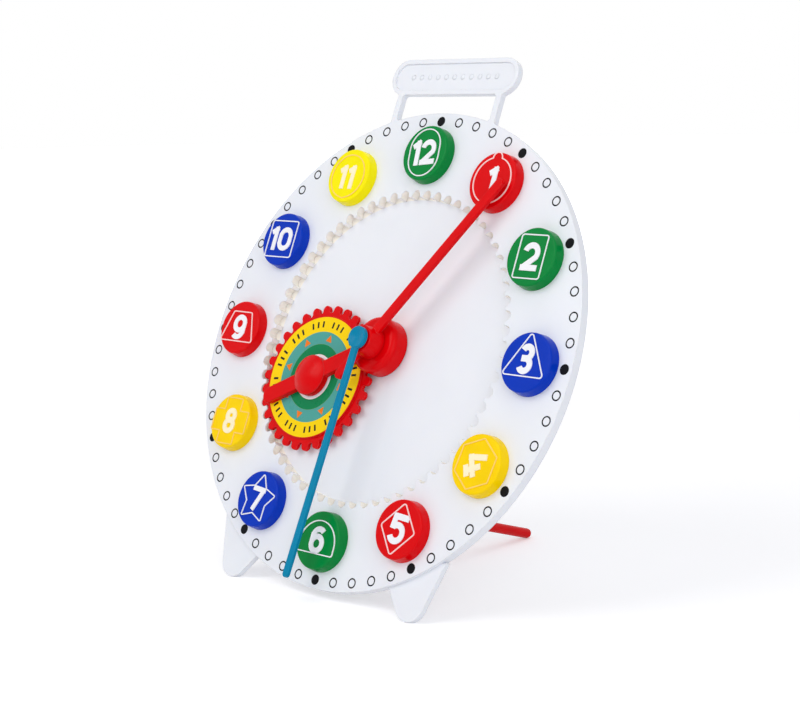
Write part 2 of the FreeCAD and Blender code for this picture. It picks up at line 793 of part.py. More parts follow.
def pill(radius):
    """The handle's round-ended plate, as a face."""
    middle = [(-half_wide, pill_place), (half_wide, pill_place)]
    body = [
        (middle[0][0], pill_place - radius), (middle[1][0], pill_place - radius),
        (middle[1][0], pill_place + radius), (middle[0][0], pill_place + radius),
    ]
    return united([polygon(body)] + [disc(radius, vec(*m)) for m in middle])


post_half, post_at = size("post_width") / 2, size("post_place")
inner_rim = size("dial_radius") - size("skirt_wall")
posts = []
for side in (-1, 1):
    low = (inner_rim ** 2 - (post_at + post_half) ** 2) ** 0.5
    posts.append(polygon([
        (side * post_at - post_half, low), (side * post_at + post_half, low),
        (side * post_at + post_half, pill_place), (side * post_at - post_half, pill_place),
    ]))
rim_face = disc(size("dial_radius")).cut(disc(size("mark_circle") - size("mark_radius")))
frame = united([pill(pill_height), rim_face] + posts)
frame = grown(grown(frame, size("post_round")), -size("post_round"))
frame = frame.cut(disc(size("dial_radius") - size("rim_round")))
thick = size("handle_thickness")
handle = feature("handle_frame", prism(frame, -thick, thick))
panel = feature("handle_panel", prism(
    pill(pill_height - size("handle_border")), -size("handle_sink"), length("handle_sink + overrun")
))


def foot_face(side):
    """One foot: a round end joined to the rim by two straight edges."""
    centre = vec(size("foot_place"), -size("foot_drop"))
    outer = vec(size("foot_outer_place"), -size("foot_outer_drop"))
    inner = vec(size("foot_inner_place"), -size("foot_inner_drop"))
    radius = size("foot_radius")
    right = tangent_from(outer, centre, radius, -1)
    left = tangent_from(inner, centre, radius, 1)
    low = centre + vec(0, -radius)
    edges = [
        Part.makeLine(outer, right),
        Part.Arc(right, low, left).toShape(),
        Part.makeLine(left, inner),
        Part.makeLine(inner, outer),
    ]
    face = Part.Face(Part.Wire(edges))
    return face if side > 0 else face.mirror(vec(0, 0), vec(1, 0, 0))


foot_thick = length("skirt_depth - foot_front")
feet = [
    feature(name, prism(foot_face(side), -size("skirt_depth"), foot_thick))
    for name, side in (("foot_right", 1), ("foot_left", -1))
]

# The lean follows from the ground's two touching places: the foot's back edge
# and the rod's round end.
touch_v = size("foot_drop") + size("foot_radius") - size("foot_trim")
touch_h = size("skirt_depth")
span_v = touch_v - size("rod_end_drop")
span_h = size("rod_reach") - touch_h
LEAN = acos(size("rod_radius") / hypot(span_v, span_h)) - atan2(span_h, span_v)
CENTRE_UP = touch_v * cos(LEAN) + touch_h * sin(LEAN)

# Where the rod stands: its root on the cup's back and its slope.
back = -length(FLOOR_BACK)
ROD_SLOPE = atan2(
    size("rod_root_drop") - size("rod_end_drop"), size("rod_reach") - back
)
rod_way = vec(0, sin(ROD_SLOPE), -cos(ROD_SLOPE))
rod_root = vec(0, -size("rod_root_drop"), -back)


def along_rod(shape):
    """Stand a shape that rises along z on the rod's root, along the rod."""
    shape = shape.copy()
    turn = FreeCAD.Rotation(vec(0, 0, 1), rod_way)
    shape.Placement = FreeCAD.Placement(rod_root, turn)
    return shape


# The gear floor closes the recess from behind, and the rod's socket stands on
# its back, cut flush to it.
socket_outer = size("rod_radius") + size("socket_clearance") + size("socket_wall")
sink = size("overrun")
socket_tube = feature("socket_tube", along_rod(
    Part.makeCylinder(socket_outer, size("socket_depth") + sink, vec(0, 0, -sink))
))
socket_cap = cylinder(
    "socket_cap", "floor_radius", FLOOR_BACK, "overrun + overrun + overrun"
)
socket_bore = feature("socket_bore", along_rod(Part.makeCylinder(
    size("rod_radius") + size("socket_clearance"), size("socket_depth") + size("overrun")
)))
socket_tools = fuse("socket_tools", socket_cap, socket_bore)
rod_socket = cut("rod_socket", socket_tube, socket_tools)

floor_plate = revolved("floor_plate", [
    ("0", FLOOR_BACK),
    ("floor_radius", FLOOR_BACK),
    ("floor_radius", FLOOR),
    ("thrust_radius", FLOOR),
    ("thrust_radius", FLOOR + " + planet_lift - thrust_gap"),
    ("0", FLOOR + " + planet_lift - thrust_gap"),
])
axle_hole = cylinder(
    "axle_hole", "axle_radius", FLOOR_BACK + " - overrun",
    "floor_depth + floor_thickness + overrun + overrun",
)
floor_tools = fuse("floor_tools", axle_hole, socket_bore)
gear_floor = cut("gear_floor", floor_plate, floor_tools)


def disc_place(number):
    return polar(size("disc_circle"), pi / 2 - 2 * pi * number / DISCS)


holes = []
for number in range(1, DISCS + 1):
    face = grown(shape_face(number), size("peg_clearance"))
    solid = prism(face, -size("skirt_depth"), length("skirt_depth + overrun"))
    solid = turned(solid, HOLE_TURN.get(number, 0))
    solid.translate(disc_place(number))
    holes.append(solid)
peg_holes = feature("peg_holes", Part.makeCompound(holes))

ground_way = vec(0, cos(LEAN), sin(LEAN))
below = Part.makeBox(
    size("dial_radius") * 2, size("dial_radius"), size("dial_radius"),
    vec(-size("dial_radius"), -size("dial_radius") / 2, -size("dial_radius")),
)
below.Placement = FreeCAD.Placement(
    vec(0, -touch_v, -touch_h), FreeCAD.Rotation(vec(0, 0, 1), ground_way)
).multiply(below.Placement)
ground = feature("ground_cut", below)

dial_solid = fuse("dial_solid", shell, handle, feet[0], feet[1])
tools = fuse("dial_tools", panel, ground)
dial_holes = cut("dial_holes", dial_solid, peg_holes)
dial_trimmed = cut("dial_trimmed", dial_holes, tools)
dial = cut("dial_plate", dial_trimmed, recess)

marks = []
for minute in range(MINUTES):
    outer = size("mark_radius")
    face = disc(outer)
    if minute % 5:
        face = face.cut(disc(outer - size("mark_line")))
    solid = prism(face, 0, size("print_thickness"))
    solid.translate(polar(size("mark_circle"), pi / 2 - 2 * pi * minute / MINUTES))
    marks.append(solid)
minute_marks = feature("minute_marks", Part.makeCompound(marks))

# The number discs.

nodes = {
    "dial_plate": dial,
    "gear_floor": gear_floor,
    "rod_socket": rod_socket,
    "minute_marks": minute_marks,
}
places = {}
for number in range(1, DISCS + 1):
    name = f"number_{number:02d}"
    button = revolved(name + "_button", [
        ("0", "0"),
        ("disc_radius", "0"),
        ("disc_radius - disc_draft", "disc_height"),
        ("0", "disc_height"),
    ])
    rounded(button, "disc_round", at_height("disc_height"))
    shape = shape_face(number)
    peg = feature(name + "_peg", prism(shape, -size("peg_depth"), size("peg_depth")))
    nodes[name] = fuse(name, button, peg)
    faces = [tube_line(shape, size("outline_line"))]
    for sign, across, up, tall in NUMERAL_SHARES[number]:
        whole = size("digit_height")
        faces.append(digit(sign, across * whole, up * whole, tall * whole))
    solids = [prism(f, size("disc_height"), size("relief_height")) for f in faces]
    solids = [s for one in solids for s in one.Solids]
    nodes[name + "_relief"] = feature(name + "_relief", Part.makeCompound(solids))
    turn = FreeCAD.Rotation(vec(0, 0, 1), DISC_TURN.get(number, 0))
    place = FreeCAD.Placement(disc_place(number), turn)
    places[name] = places[name + "_relief"] = place

# The gear train.

hour_turn = FreeCAD.Placement(vec(0, 0), FreeCAD.Rotation(vec(0, 0, 1), -HOUR_ANGLE))
minute_turn = FreeCAD.Placement(vec(0, 0), FreeCAD.Rotation(vec(0, 0, 1), -MINUTE_ANGLE))
second_turn = FreeCAD.Placement(vec(0, 0), FreeCAD.Rotation(vec(0, 0, 1), -SECOND_ANGLE))
planet_turn = hour_turn.multiply(FreeCAD.Placement(
    vec(0, CARRIER), FreeCAD.Rotation(vec(0, 0, 1), 90)
))

teeth = feature("planet_teeth", prism(planet_face(), length(GEAR_FOOT), size("planet_thickness")))
pad = cylinder("planet_pad", "pad_radius", GEAR_TOP, "pad_rise")
planet_whole = fuse("planet_whole", teeth, pad)
planet_bore = cylinder(
    "planet_bore", "pin_radius + bearing_clearance", FLOOR, "floor_depth + hour_thickness"
)
planet_seat = cylinder(
    "planet_seat", "pin_flange_radius + foot_play + foot_play", FLOOR,
    "planet_lift + pin_foot_lift + pin_flange_thickness + foot_play",
)
planet_tools = fuse("planet_tools", planet_bore, planet_seat)
nodes["planet_gear"] = cut("planet_gear", planet_whole, planet_tools)
places["planet_gear"] = places["planet_label"] = planet_turn

label_face = disc(size("label_radius")).cut(disc(length("pin_radius + bearing_clearance")))
nodes["planet_label"] = feature(
    "planet_label", prism(label_face, length(PAD_TOP), size("print_thickness"))
)

# The pin: a domed head over the arm, a shank and a foot under the planet.
FLANGE_FOOT = GEAR_FOOT + " + pin_foot_lift"
nodes["planet_pin"] = revolved("planet_pin", [
    ("0", FLANGE_FOOT),
    ("pin_flange_radius", FLANGE_FOOT),
    ("pin_flange_radius", FLANGE_FOOT + " + pin_flange_thickness"),
    ("pin_radius", FLANGE_FOOT + " + pin_flange_thickness"),
    ("pin_radius", HOUR_TOP),
    ("boss_radius", HOUR_TOP, HEAD_TOP + " - dome_radius"),
    ("0", HEAD_TOP),
])
places["planet_pin"] = hour_turn.multiply(FreeCAD.Placement(vec(0, CARRIER), FreeCAD.Rotation()))

hour_arm = arm("hour_arm", "hour_half", "0", "hour_reach", HOUR_FOOT, "hour_thickness")
rounded(hour_arm, "hand_edge", at_height(HOUR_TOP))
hour_boss = feature("hour_boss", Part.makeCylinder(
    size("boss_radius"), size("hour_thickness"), vec(0, CARRIER, length(HOUR_FOOT))
))
bell = revolved("hour_bell", [
    ("0", HOUR_FOOT),
    ("bell_radius - bell_wall", HOUR_FOOT),
    ("bell_radius - bell_wall", FLOOR + " + bell_lift"),
    ("bell_radius", FLOOR + " + bell_lift"),
    ("bell_radius", BELL_TOP),
    ("0", BELL_TOP),
])
rounded(bell, "bell_round", at_height(BELL_TOP))
gear_room = feature("gear_room", Part.makeCylinder(
    planet_tip() + size("bell_relief"), length(HOUR_FOOT) - length(FLOOR),
    vec(0, CARRIER, length(FLOOR))
))
bell_open = cut("bell_open", bell, gear_room)
hour_whole = fuse("hour_whole", bell_open, hour_arm, hour_boss)
sleeve_hole = cylinder(
    "sleeve_hole", "sleeve_radius + bearing_clearance", FLOOR, "floor_depth + overrun + overrun"
)
pin_hole = feature("pin_hole", Part.makeCylinder(
    size("pin_radius"), length("floor_depth + overrun + overrun"), vec(0, CARRIER, length(FLOOR))
))
hour_tools = fuse("hour_tools", sleeve_hole, pin_hole)
nodes["hour_hand"] = cut("hour_hand", hour_whole, hour_tools)
places["hour_hand"] = hour_turn

sun_face = gear_face(SUN_TEETH, size("pinion_tip"), -1, SUN_ROLL)
sun = turned(sun_face, 90 - (HOUR_ANGLE - MINUTE_ANGLE))
pinion_tall = length(PINION_TOP) - length(GEAR_FOOT)
pinion_teeth = feature("pinion_teeth", prism(sun, length(GEAR_FOOT), pinion_tall))
sleeve = feature("pinion_sleeve", Part.makeCylinder(
    size("sleeve_radius"), length(SLEEVE_TOP) - length(GEAR_FOOT), vec(0, 0, length(GEAR_FOOT))
))
pinion_whole = fuse("pinion_whole", pinion_teeth, sleeve)
pinion_bore = cylinder(
    "pinion_bore", "axle_radius + bearing_clearance", FLOOR,
    "floor_depth + overrun + overrun + overrun",
)
nodes["drive_pinion"] = cut("drive_pinion", pinion_whole, pinion_bore)
places["drive_pinion"] = places["minute_hand"] = minute_turn

minute_arm = arm(
    "minute_arm", "minute_half", "minute_tail", "minute_reach", MINUTE_FOOT, "minute_thickness"
)
rounded(minute_arm, "hand_edge", at_height(MINUTE_FOOT + " + minute_thickness"))
hub_tall = length(HUB_TOP) - length(BELL_TOP + " + hub_gap")
minute_hub = revolved("minute_hub", [
    ("0", BELL_TOP + " + hub_gap"),
    ("hub_radius", BELL_TOP + " + hub_gap"),
    ("hub_radius - hub_draft", HUB_TOP),
    ("0", HUB_TOP),
])
rounded(minute_hub, "hand_edge", at_height(HUB_TOP))
minute_whole = fuse("minute_whole", minute_arm, minute_hub)
hub_seat = feature("hub_seat", Part.makeCylinder(
    size("sleeve_radius"), length(SLEEVE_TOP), vec(0, 0, 0)
))
hub_hole = cylinder(
    "hub_hole", "axle_radius + bearing_clearance", "0", "overrun + overrun + overrun"
)
minute_tools = fuse("minute_tools", hub_seat, hub_hole)
nodes["minute_hand"] = cut("minute_hand", minute_whole, minute_tools)

AXLE_TOP = HUB_TOP + " + axle_show"
axle = revolved("axle_solid", [
    ("0", FLOOR_BACK + " - axle_head_thickness"),
    ("axle_head_radius", FLOOR_BACK + " - axle_head_thickness"),
    ("axle_head_radius", FLOOR_BACK),
    ("axle_radius", FLOOR_BACK),
    ("axle_radius", AXLE_TOP),
    ("0", AXLE_TOP),
])
rounded(axle, "hand_edge", at_height(FLOOR_BACK + " - axle_head_thickness"))
stem_hole = feature("stem_hole", Part.makeCylinder(
    size("stem_radius") + size("stem_clearance"), size("stem_length") + size("overrun"),
    vec(0, 0, length(SECOND_FOOT) - size("stem_length")),
))
nodes["centre_axle"] = cut("centre_axle", axle, stem_hole)

second_arm = arm(
    "second_arm", "second_half", "0", "second_reach", SECOND_FOOT, "second_thickness"
)
rounded(second_arm, "hand_edge", at_height(SECOND_FOOT + " + second_thickness"))
knob = revolved("second_knob", [
    ("0", SECOND_FOOT + " - stem_length + stem_clearance"),
    ("stem_radius", SECOND_FOOT + " - stem_length + stem_clearance"),
    ("stem_radius", SECOND_FOOT),
    ("knob_radius", SECOND_FOOT),
    ("knob_radius", SECOND_FOOT + " + knob_height"),
    ("0", SECOND_FOOT + " + knob_height"),
])
rounded(knob, "hand_edge", at_height(SECOND_FOOT + " + knob_height"))
dip, mouth = size("dimple_depth"), size("knob_radius") - size("hand_edge") * 2
ball = (mouth ** 2 + dip ** 2) / (2 * dip)
knob_top = length(SECOND_FOOT + " + knob_height")
dimple = feature("knob_dimple", Part.makeSphere(ball, vec(0, 0, knob_top - dip + ball)))
second_whole = fuse("second_whole", second_arm, knob)
nodes["second_hand"] = cut("second_hand", second_whole, dimple)
places["second_hand"] = second_turn

# The rod.

rod_long = (vec(0, -size("rod_end_drop"), -size("rod_reach")) - rod_root).Length
rod = Part.makeCylinder(size("rod_radius"), rod_long - size("socket_clearance"),
                        vec(0, 0, size("socket_clearance")))
rod = rod.fuse(Part.makeSphere(size("rod_radius"), vec(0, 0, rod_long))).removeSplitter()
nodes["stand_rod"] = feature("stand_rod", along_rod(rod))

# Stand everything on the ground.

doc.recompute()


def standing(across):
    """The dial's place in the row: leaning back, centred, feet on the ground."""
    turn = FreeCAD.Rotation(vec(1, 0, 0), 90 - degrees(LEAN))
    return FreeCAD.Placement(vec(0, across, CENTRE_UP), turn)


local = {name: FreeCAD.Placement(thing.Placement) for name, thing in nodes.items()}


def stand(across):
    """Move every piece to the row's frame and measure the whole front to back."""
    near, far = [], []
    for name, thing in nodes.items():
        place = standing(across).multiply(places.get(name, FreeCAD.Placement()))
        thing.Placement = place.multiply(local[name])
        box = thing.Shape.optimalBoundingBox(False)
        near.append(box.YMin)
        far.append(box.YMax)
    return (min(near) + max(far)) / 2


middle = stand(0)
stand(-middle)

for thing in doc.Objects:
    if "Invalid" in thing.State or "Error" in thing.State:
        raise RuntimeError(f"{thing.Name} is {thing.State}")
for name, thing in nodes.items():
    thing.Label = name
    if thing.Shape.isNull() or not thing.Shape.isValid() or not thing.Shape.Solids:
        raise RuntimeError(f"{name} has no sound shape")

os.makedirs("parts", exist_ok=True)
for name, thing in nodes.items():
    thing.Shape.exportStep(f"parts/{name}.step")
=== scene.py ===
"""Looks of the geared teaching clock: finishes, printed pieces, light and camera.

Everything is in metres in the row's frame. The dial's own frame (across, up the
face, out of it) is read from the joint of the minute hand. Sizes in the classes
below are in millimetres.
"""

import json
import logging
import math
from dataclasses import dataclass, field, replace
from enum import Enum
from typing import Dict, List, Optional, Sequence, Tuple

import bmesh
import bpy
from mathutils import Matrix, Vector

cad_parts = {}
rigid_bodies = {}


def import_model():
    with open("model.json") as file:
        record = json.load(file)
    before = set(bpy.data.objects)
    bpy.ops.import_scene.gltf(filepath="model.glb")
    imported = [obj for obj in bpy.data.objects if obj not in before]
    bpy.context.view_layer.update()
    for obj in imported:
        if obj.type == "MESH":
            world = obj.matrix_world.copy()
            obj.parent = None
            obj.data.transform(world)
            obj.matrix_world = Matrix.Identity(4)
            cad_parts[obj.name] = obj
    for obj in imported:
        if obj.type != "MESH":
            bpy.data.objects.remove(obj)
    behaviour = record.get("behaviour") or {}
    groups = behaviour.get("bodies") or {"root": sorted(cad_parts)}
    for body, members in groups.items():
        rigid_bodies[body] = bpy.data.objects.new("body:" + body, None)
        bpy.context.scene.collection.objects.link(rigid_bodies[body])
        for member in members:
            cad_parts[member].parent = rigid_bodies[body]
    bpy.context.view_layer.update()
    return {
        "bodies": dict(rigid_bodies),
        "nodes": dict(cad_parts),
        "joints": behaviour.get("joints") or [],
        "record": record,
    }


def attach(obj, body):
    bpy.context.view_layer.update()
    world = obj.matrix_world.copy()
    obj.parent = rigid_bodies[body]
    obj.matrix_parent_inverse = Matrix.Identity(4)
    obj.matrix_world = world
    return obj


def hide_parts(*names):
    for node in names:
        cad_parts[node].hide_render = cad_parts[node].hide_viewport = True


LOG = logging.getLogger("teaching_clock")
MM = 0.001
# Between these two lie nearly all values of a noise texture.
NOISE_LOW, NOISE_HIGH = 0.3, 0.7
# Height limits, in millimetres, of a zone that holds at any height.
EVERYWHERE = (-100.0, 100.0)


class Colour(Enum):
    """The clock's colours as sRGB hex."""

    WHITE = "edf0f7"
    # Painted light: a brighter, warmer white in the shaded tooth gaps of the ring.
    TOOTH_GAP = "faf6ee"
    RED = "de0008"
    GREEN = "00843a"
    BLUE = "0036ba"
    YELLOW = "ffd600"
    LEMON = "fdf000"
    TEAL = "0084ac"
    PRINT_WHITE = "f4f5fa"
    PRINT_PINK = "ffdcda"
    PRINT_CREAM = "fff3cc"
    PRINT_AMBER = "ffd970"
    PRINT_BLACK = "121216"
    LABEL_YELLOW = "ffd800"
    LABEL_TEAL = "4fa39a"
    LABEL_GREEN = "00824e"
    LABEL_ORANGE = "f47a1c"
    FLOOR = "f2f2f4"
    SKY = "fafbff"
    LAMP_WARM = "fffdf8"
    PURE_WHITE = "ffffff"


class Process(Enum):
    """How a surface came about."""

    MOULDED = "moulded"
    PRINTED = "printed"


def linear(hex_colour: str) -> Tuple[float, float, float, float]:
    """Turns an sRGB hex colour into linear RGBA.

    Args:
        hex_colour: six hex digits.

    Returns:
        Four linear values, the last one 1.
    """
    parts = [int(hex_colour[i:i + 2], 16) / 255 for i in (0, 2, 4)]
    return tuple(
        c / 12.92 if c <= 0.04045 else ((c + 0.055) / 1.055) ** 2.4 for c in parts
    ) + (1.0,)


def add(tree: bpy.types.NodeTree, kind: str, inputs: Optional[Dict] = None,
        **settings) -> bpy.types.Node:
    """Adds one node and sets or links its inputs.

    Args:
        tree: the node tree.
        kind: the node's type name.
        inputs: socket name or number to a value or another node's output.
        settings: the node's own properties.

    Returns:
        The new node.
    """
    node = tree.nodes.new(kind)
    for name, value in settings.items():
        setattr(node, name, value)
    for key, value in (inputs or {}).items():
        if isinstance(value, bpy.types.NodeSocket):
            tree.links.new(value, node.inputs[key])
        else:
            node.inputs[key].default_value = value
    return node


@dataclass
class Dial:
    """The dial's own frame inside the row's."""

    centre: Vector
    out: Vector

    @classmethod
    def from_record(cls, record: Dict) -> "Dial":
        """Reads the frame from the minute hand's joint."""
        joint = next(j for j in record["behaviour"]["joints"] if j["name"] == "minute_spin")
        return cls(Vector(joint["pos_m"]), -Vector(joint["axis"]).normalized())

    @property
    def matrix(self) -> Matrix:
        """Takes a place in the dial's frame, in metres, to the row's frame.

        Returns:
            The turn and the move between the two frames.
        """
        across = Vector((1, 0, 0))
        up = self.out.cross(across).normalized()
        turn = Matrix((across, up, self.out)).transposed()
        return Matrix.Translation(self.centre) @ turn.to_4x4()

    def at(self, angle: float, radius_mm: float, high_mm: float = 0.0) -> Matrix:
        """A frame on the face at a clock angle.

        Args:
            angle: in degrees, clockwise from the top.
            radius_mm: distance from the dial's centre.
            high_mm: height over the face.

        Returns:
            The frame, its z axis pointing out of the face.
        """
        a = math.radians(angle)
        place = Vector((radius_mm * math.sin(a), radius_mm * math.cos(a), high_mm)) * MM
        return self.matrix @ Matrix.Translation(place)


@dataclass(frozen=True)
class RoundZone:
    """A ring round an axis, between two radii and two heights, with its own colour."""

    centre: Tuple[float, float, float]
    axis: Tuple[float, float, float]
    inner_mm: float
    outer_mm: float
    colour: Colour
    heights_mm: Tuple[float, float] = EVERYWHERE
    soft_mm: float = 0.12

    @classmethod
    def at(cls, frame: Matrix, inner_mm: float, outer_mm: float, colour: Colour,
           heights_mm: Tuple[float, float] = EVERYWHERE, soft_mm: float = 0.12) -> "RoundZone":
        """Places a zone on the axis that rises from a frame's origin.

        Args:
            frame: where the zone's centre lies and which way its axis points.
            inner_mm: where the zone starts.
            outer_mm: where it ends.
            colour: what the zone is coloured.
            heights_mm: the heights over the frame between which it holds.
            soft_mm: width of its soft edge.

        Returns:
            The zone.
        """
        way = frame.to_3x3() @ Vector((0, 0, 1))
        return cls(tuple(frame.translation), tuple(way), inner_mm, outer_mm, colour,
                   heights_mm, soft_mm)

    def over(self, tree: bpy.types.NodeTree, colour: bpy.types.NodeSocket) -> bpy.types.NodeSocket:
        """Lays the zone's colour over another one.

        Args:
            tree: the material's node tree.
            colour: the colour below.

        Returns:
            The mixed colour.
        """
        coords = add(tree, "ShaderNodeTexCoord")
        away = add(tree, "ShaderNodeVectorMath", {0: coords.outputs["Object"], 1: self.centre},
                   operation="SUBTRACT")
        aside = add(tree, "ShaderNodeVectorMath", {0: away.outputs[0], 1: self.axis},
                    operation="CROSS_PRODUCT")
        radius = add(tree, "ShaderNodeVectorMath", {0: aside.outputs[0]}, operation="LENGTH")
        high = add(tree, "ShaderNodeVectorMath", {0: away.outputs[0], 1: self.axis},
                   operation="DOT_PRODUCT")
        half = self.soft_mm / 2
        past = add(tree, "ShaderNodeMapRange", {
            "Value": radius.outputs["Value"], "From Min": (self.inner_mm - half) * MM,
            "From Max": (self.inner_mm + half) * MM})
        short = add(tree, "ShaderNodeMapRange", {
            "Value": radius.outputs["Value"], "From Min": (self.outer_mm + half) * MM,
            "From Max": (self.outer_mm - half) * MM})
        low, top = (limit * MM for limit in self.heights_mm)
        level = add(tree, "ShaderNodeMath", {
            0: high.outputs["Value"], 1: (low + top) / 2, 2: (top - low) / 2},
            operation="COMPARE")
        ring = add(tree, "ShaderNodeMath", {0: past.outputs[0], 1: short.outputs[0]},
                   operation="MULTIPLY")
        mask = add(tree, "ShaderNodeMath", {0: ring.outputs[0], 1: level.outputs[0]},
                   operation="MULTIPLY")
        mixed = add(tree, "ShaderNodeMix", {"Factor": mask.outputs[0]}, data_type="RGBA")
        tree.links.new(colour, mixed.inputs["A"])
        mixed.inputs["B"].default_value = linear(self.colour.value)
        return mixed.outputs["Result"]


@dataclass(frozen=True)
class Finish:
    """How one moulded or printed surface looks.

    Lengths are in millimetres. Edges get a painted highlight, the colour mixed towards white;
    where it starts and where it is full is given by the cosine of how far the bevelled normal
    leaves the flat one.
    """

    name: str
    colour: Colour
    process: Process = Process.MOULDED
    roughness: float = 0.22
    roughness_spread: float = 0.05
    specular: float = 0.10
    subsurface: float = 0.04
    subsurface_mm: float = 0.8
    grain_mm: float = 0.45
    grain_depth_mm: float = 0.004
    sink_mm: float = 22.0
    sink_depth_mm: float = 0.05
    edge_mm: float = 0.30
    # Painted highlight: how far the colour is mixed towards white along the edges.
    painted_edge_highlight: float = 0.06
    edge_starts: float = 0.995
    edge_full: float = 0.85
    cloud_mm: float = 9.0
    cloud: float = 0.03
    worn_mm: float = 6.0
    refraction: float = 1.49

    def material(self, zones: Sequence[RoundZone] = (), name: str = "") -> bpy.types.Material:
        """Builds the finish as a material.

        Args:
            zones: rings of other colours laid over the finish's own.
            name: the material's name where it isn't the finish's.

        Returns:
            The material.
        """
        made = bpy.data.materials.new(name or self.name)
        made.use_nodes = True
        tree = made.node_tree
        tree.nodes.clear()
        coords = add(tree, "ShaderNodeTexCoord").outputs["Object"]
        plain = add(tree, "ShaderNodeNewGeometry").outputs["Normal"]

        # Edges of moulded plastic are never sharp: the bevel softens their shading, and a painted
        # highlight mixes the colour towards white along them.
        soft = add(tree, "ShaderNodeBevel", {"Radius": self.edge_mm * MM}, samples=4).outputs[0]
        bend = add(tree, "ShaderNodeVectorMath", {0: soft, 1: plain}, operation="DOT_PRODUCT")
        edge = add(tree, "ShaderNodeMapRange", {
            "Value": bend.outputs["Value"], "From Min": self.edge_starts,
            "From Max": self.edge_full, "To Min": 0.0, "To Max": self.painted_edge_highlight})

        # Slow clouds of pigment in the colour.
        cloud = add(tree, "ShaderNodeTexNoise", {
            "Vector": coords, "Scale": 1 / (self.cloud_mm * MM), "Detail": 3.0})
        value = add(tree, "ShaderNodeMapRange", {
            "Value": cloud.outputs["Fac"], "From Min": NOISE_LOW, "From Max": NOISE_HIGH,
            "To Min": 1 - self.cloud, "To Max": 1 + self.cloud})
        tinted = add(tree, "ShaderNodeHueSaturation", {
            "Color": linear(self.colour.value), "Value": value.outputs[0]})
        highlighted = add(tree, "ShaderNodeMix", {"Factor": edge.outputs[0]}, data_type="RGBA")
        tree.links.new(tinted.outputs[0], highlighted.inputs["A"])
        highlighted.inputs["B"].default_value = linear(Colour.PURE_WHITE.value)
        colour = highlighted.outputs["Result"]
        for zone in zones:
            colour = zone.over(tree, colour)

        # Handling leaves patches that shine a little less.
        worn = add(tree, "ShaderNodeTexNoise", {
            "Vector": coords, "Scale": 1 / (self.worn_mm * MM), "Detail": 4.0})
        rough = add(tree, "ShaderNodeMapRange", {
            "Value": worn.outputs["Fac"], "From Min": NOISE_LOW, "From Max": NOISE_HIGH,
            "To Min": self.roughness - self.roughness_spread,
            "To Max": self.roughness + self.roughness_spread})

        # Sink marks over the ribs, then the fine grain of the mould or the ink.
        normal = soft
        if self.process is Process.MOULDED:
            sink = add(tree, "ShaderNodeTexNoise", {
                "Vector": coords, "Scale": 1 / (self.sink_mm * MM), "Detail": 1.0})
            normal = add(tree, "ShaderNodeBump", {
                "Height": sink.outputs["Fac"], "Strength": 1.0,
                "Distance": self.sink_depth_mm * MM, "Normal": soft}).outputs[0]
        grain = add(tree, "ShaderNodeTexNoise", {
            "Vector": coords, "Scale": 1 / (self.grain_mm * MM), "Detail": 2.0})
        grained = add(tree, "ShaderNodeBump", {
            "Height": grain.outputs["Fac"], "Strength": 1.0,
            "Distance": self.grain_depth_mm * MM, "Normal": normal})
        surface = add(tree, "ShaderNodeBsdfPrincipled", {
            "Base Color": colour, "Roughness": rough.outputs[0], "Normal": grained.outputs[0],
            "Subsurface Weight": self.subsurface, "Subsurface Scale": self.subsurface_mm * MM,
            "Subsurface Radius": (1.0, 0.8, 0.6), "IOR": self.refraction,
            "Specular IOR Level": self.specular})
        add(tree, "ShaderNodeOutputMaterial", {"Surface": surface.outputs[0]})
        made.diffuse_color = linear(self.colour.value)
        return made


# White polystyrene, moulded in a polished tool: glossy, cool white, slightly
# see-through at thin walls, and it mirrors the hands a little.
# Its edges get a strong painted highlight, a quarter of the way to pure white.
WHITE = Finish("polystyrene_white_moulded", Colour.WHITE, roughness=0.20, roughness_spread=0.04,
               specular=0.45, subsurface=0.12, subsurface_mm=1.6, edge_mm=0.5, painted_edge_highlight=0.25,
               cloud=0.012, cloud_mm=25.0)
# ABS, moulded and dyed through: deep even colour with a soft satin gloss.
RED = Finish("abs_red_moulded", Colour.RED)
GREEN = Finish("abs_green_moulded", Colour.GREEN)
BLUE = Finish("abs_blue_moulded", Colour.BLUE)
YELLOW = Finish("abs_yellow_moulded", Colour.YELLOW, subsurface=0.08)
# The same ABS from another batch of dye, a shade towards lemon.
LEMON = Finish("abs_lemon_moulded", Colour.LEMON, subsurface=0.08)
TEAL = Finish("abs_teal_moulded", Colour.TEAL, roughness=0.24)
# Hot-stamped white foil on the raised numerals: flat, dry and thin at its edges.
FOIL = Finish("hot_stamp_white_printed", Colour.PRINT_WHITE, Process.PRINTED, roughness=0.42,
              roughness_spread=0.06, specular=0.3, subsurface=0.0, grain_mm=0.35,
              grain_depth_mm=0.010, edge_mm=0.12, painted_edge_highlight=0.0)
# The same foil pressed thin on yellow plastic, whose colour comes through it.
CREAM_FOIL = replace(FOIL, name="hot_stamp_cream_printed", colour=Colour.PRINT_CREAM)
# Pad-printed black ink on the rim: dense, matt, with a faint tooth.
INK = Finish("pad_print_black", Colour.PRINT_BLACK, Process.PRINTED, roughness=0.5,
             specular=0.06, subsurface=0.0, grain_mm=0.3, grain_depth_mm=0.006, edge_mm=0.05,
             painted_edge_highlight=0.0)
# Varnished paper label: flat bright colour under a smooth clear gloss.
LABEL = Finish("varnished_paper_label", Colour.LABEL_YELLOW, Process.PRINTED, roughness=0.3,
               specular=0.13, subsurface=0.0, grain_mm=0.5, grain_depth_mm=0.006, edge_mm=0.1,
               painted_edge_highlight=0.0, cloud=0.015)
# Inks printed on the label: crisp black dashes and small bright orange triangles, both as
# smooth as the varnish over them.
DASH_INK = Finish("label_ink_black", Colour.PRINT_BLACK, Process.PRINTED, roughness=0.35,
                  specular=0.13, subsurface=0.0, edge_mm=0.05, painted_edge_highlight=0.0)
TRIANGLE_INK = replace(DASH_INK, name="label_ink_orange", colour=Colour.LABEL_ORANGE)


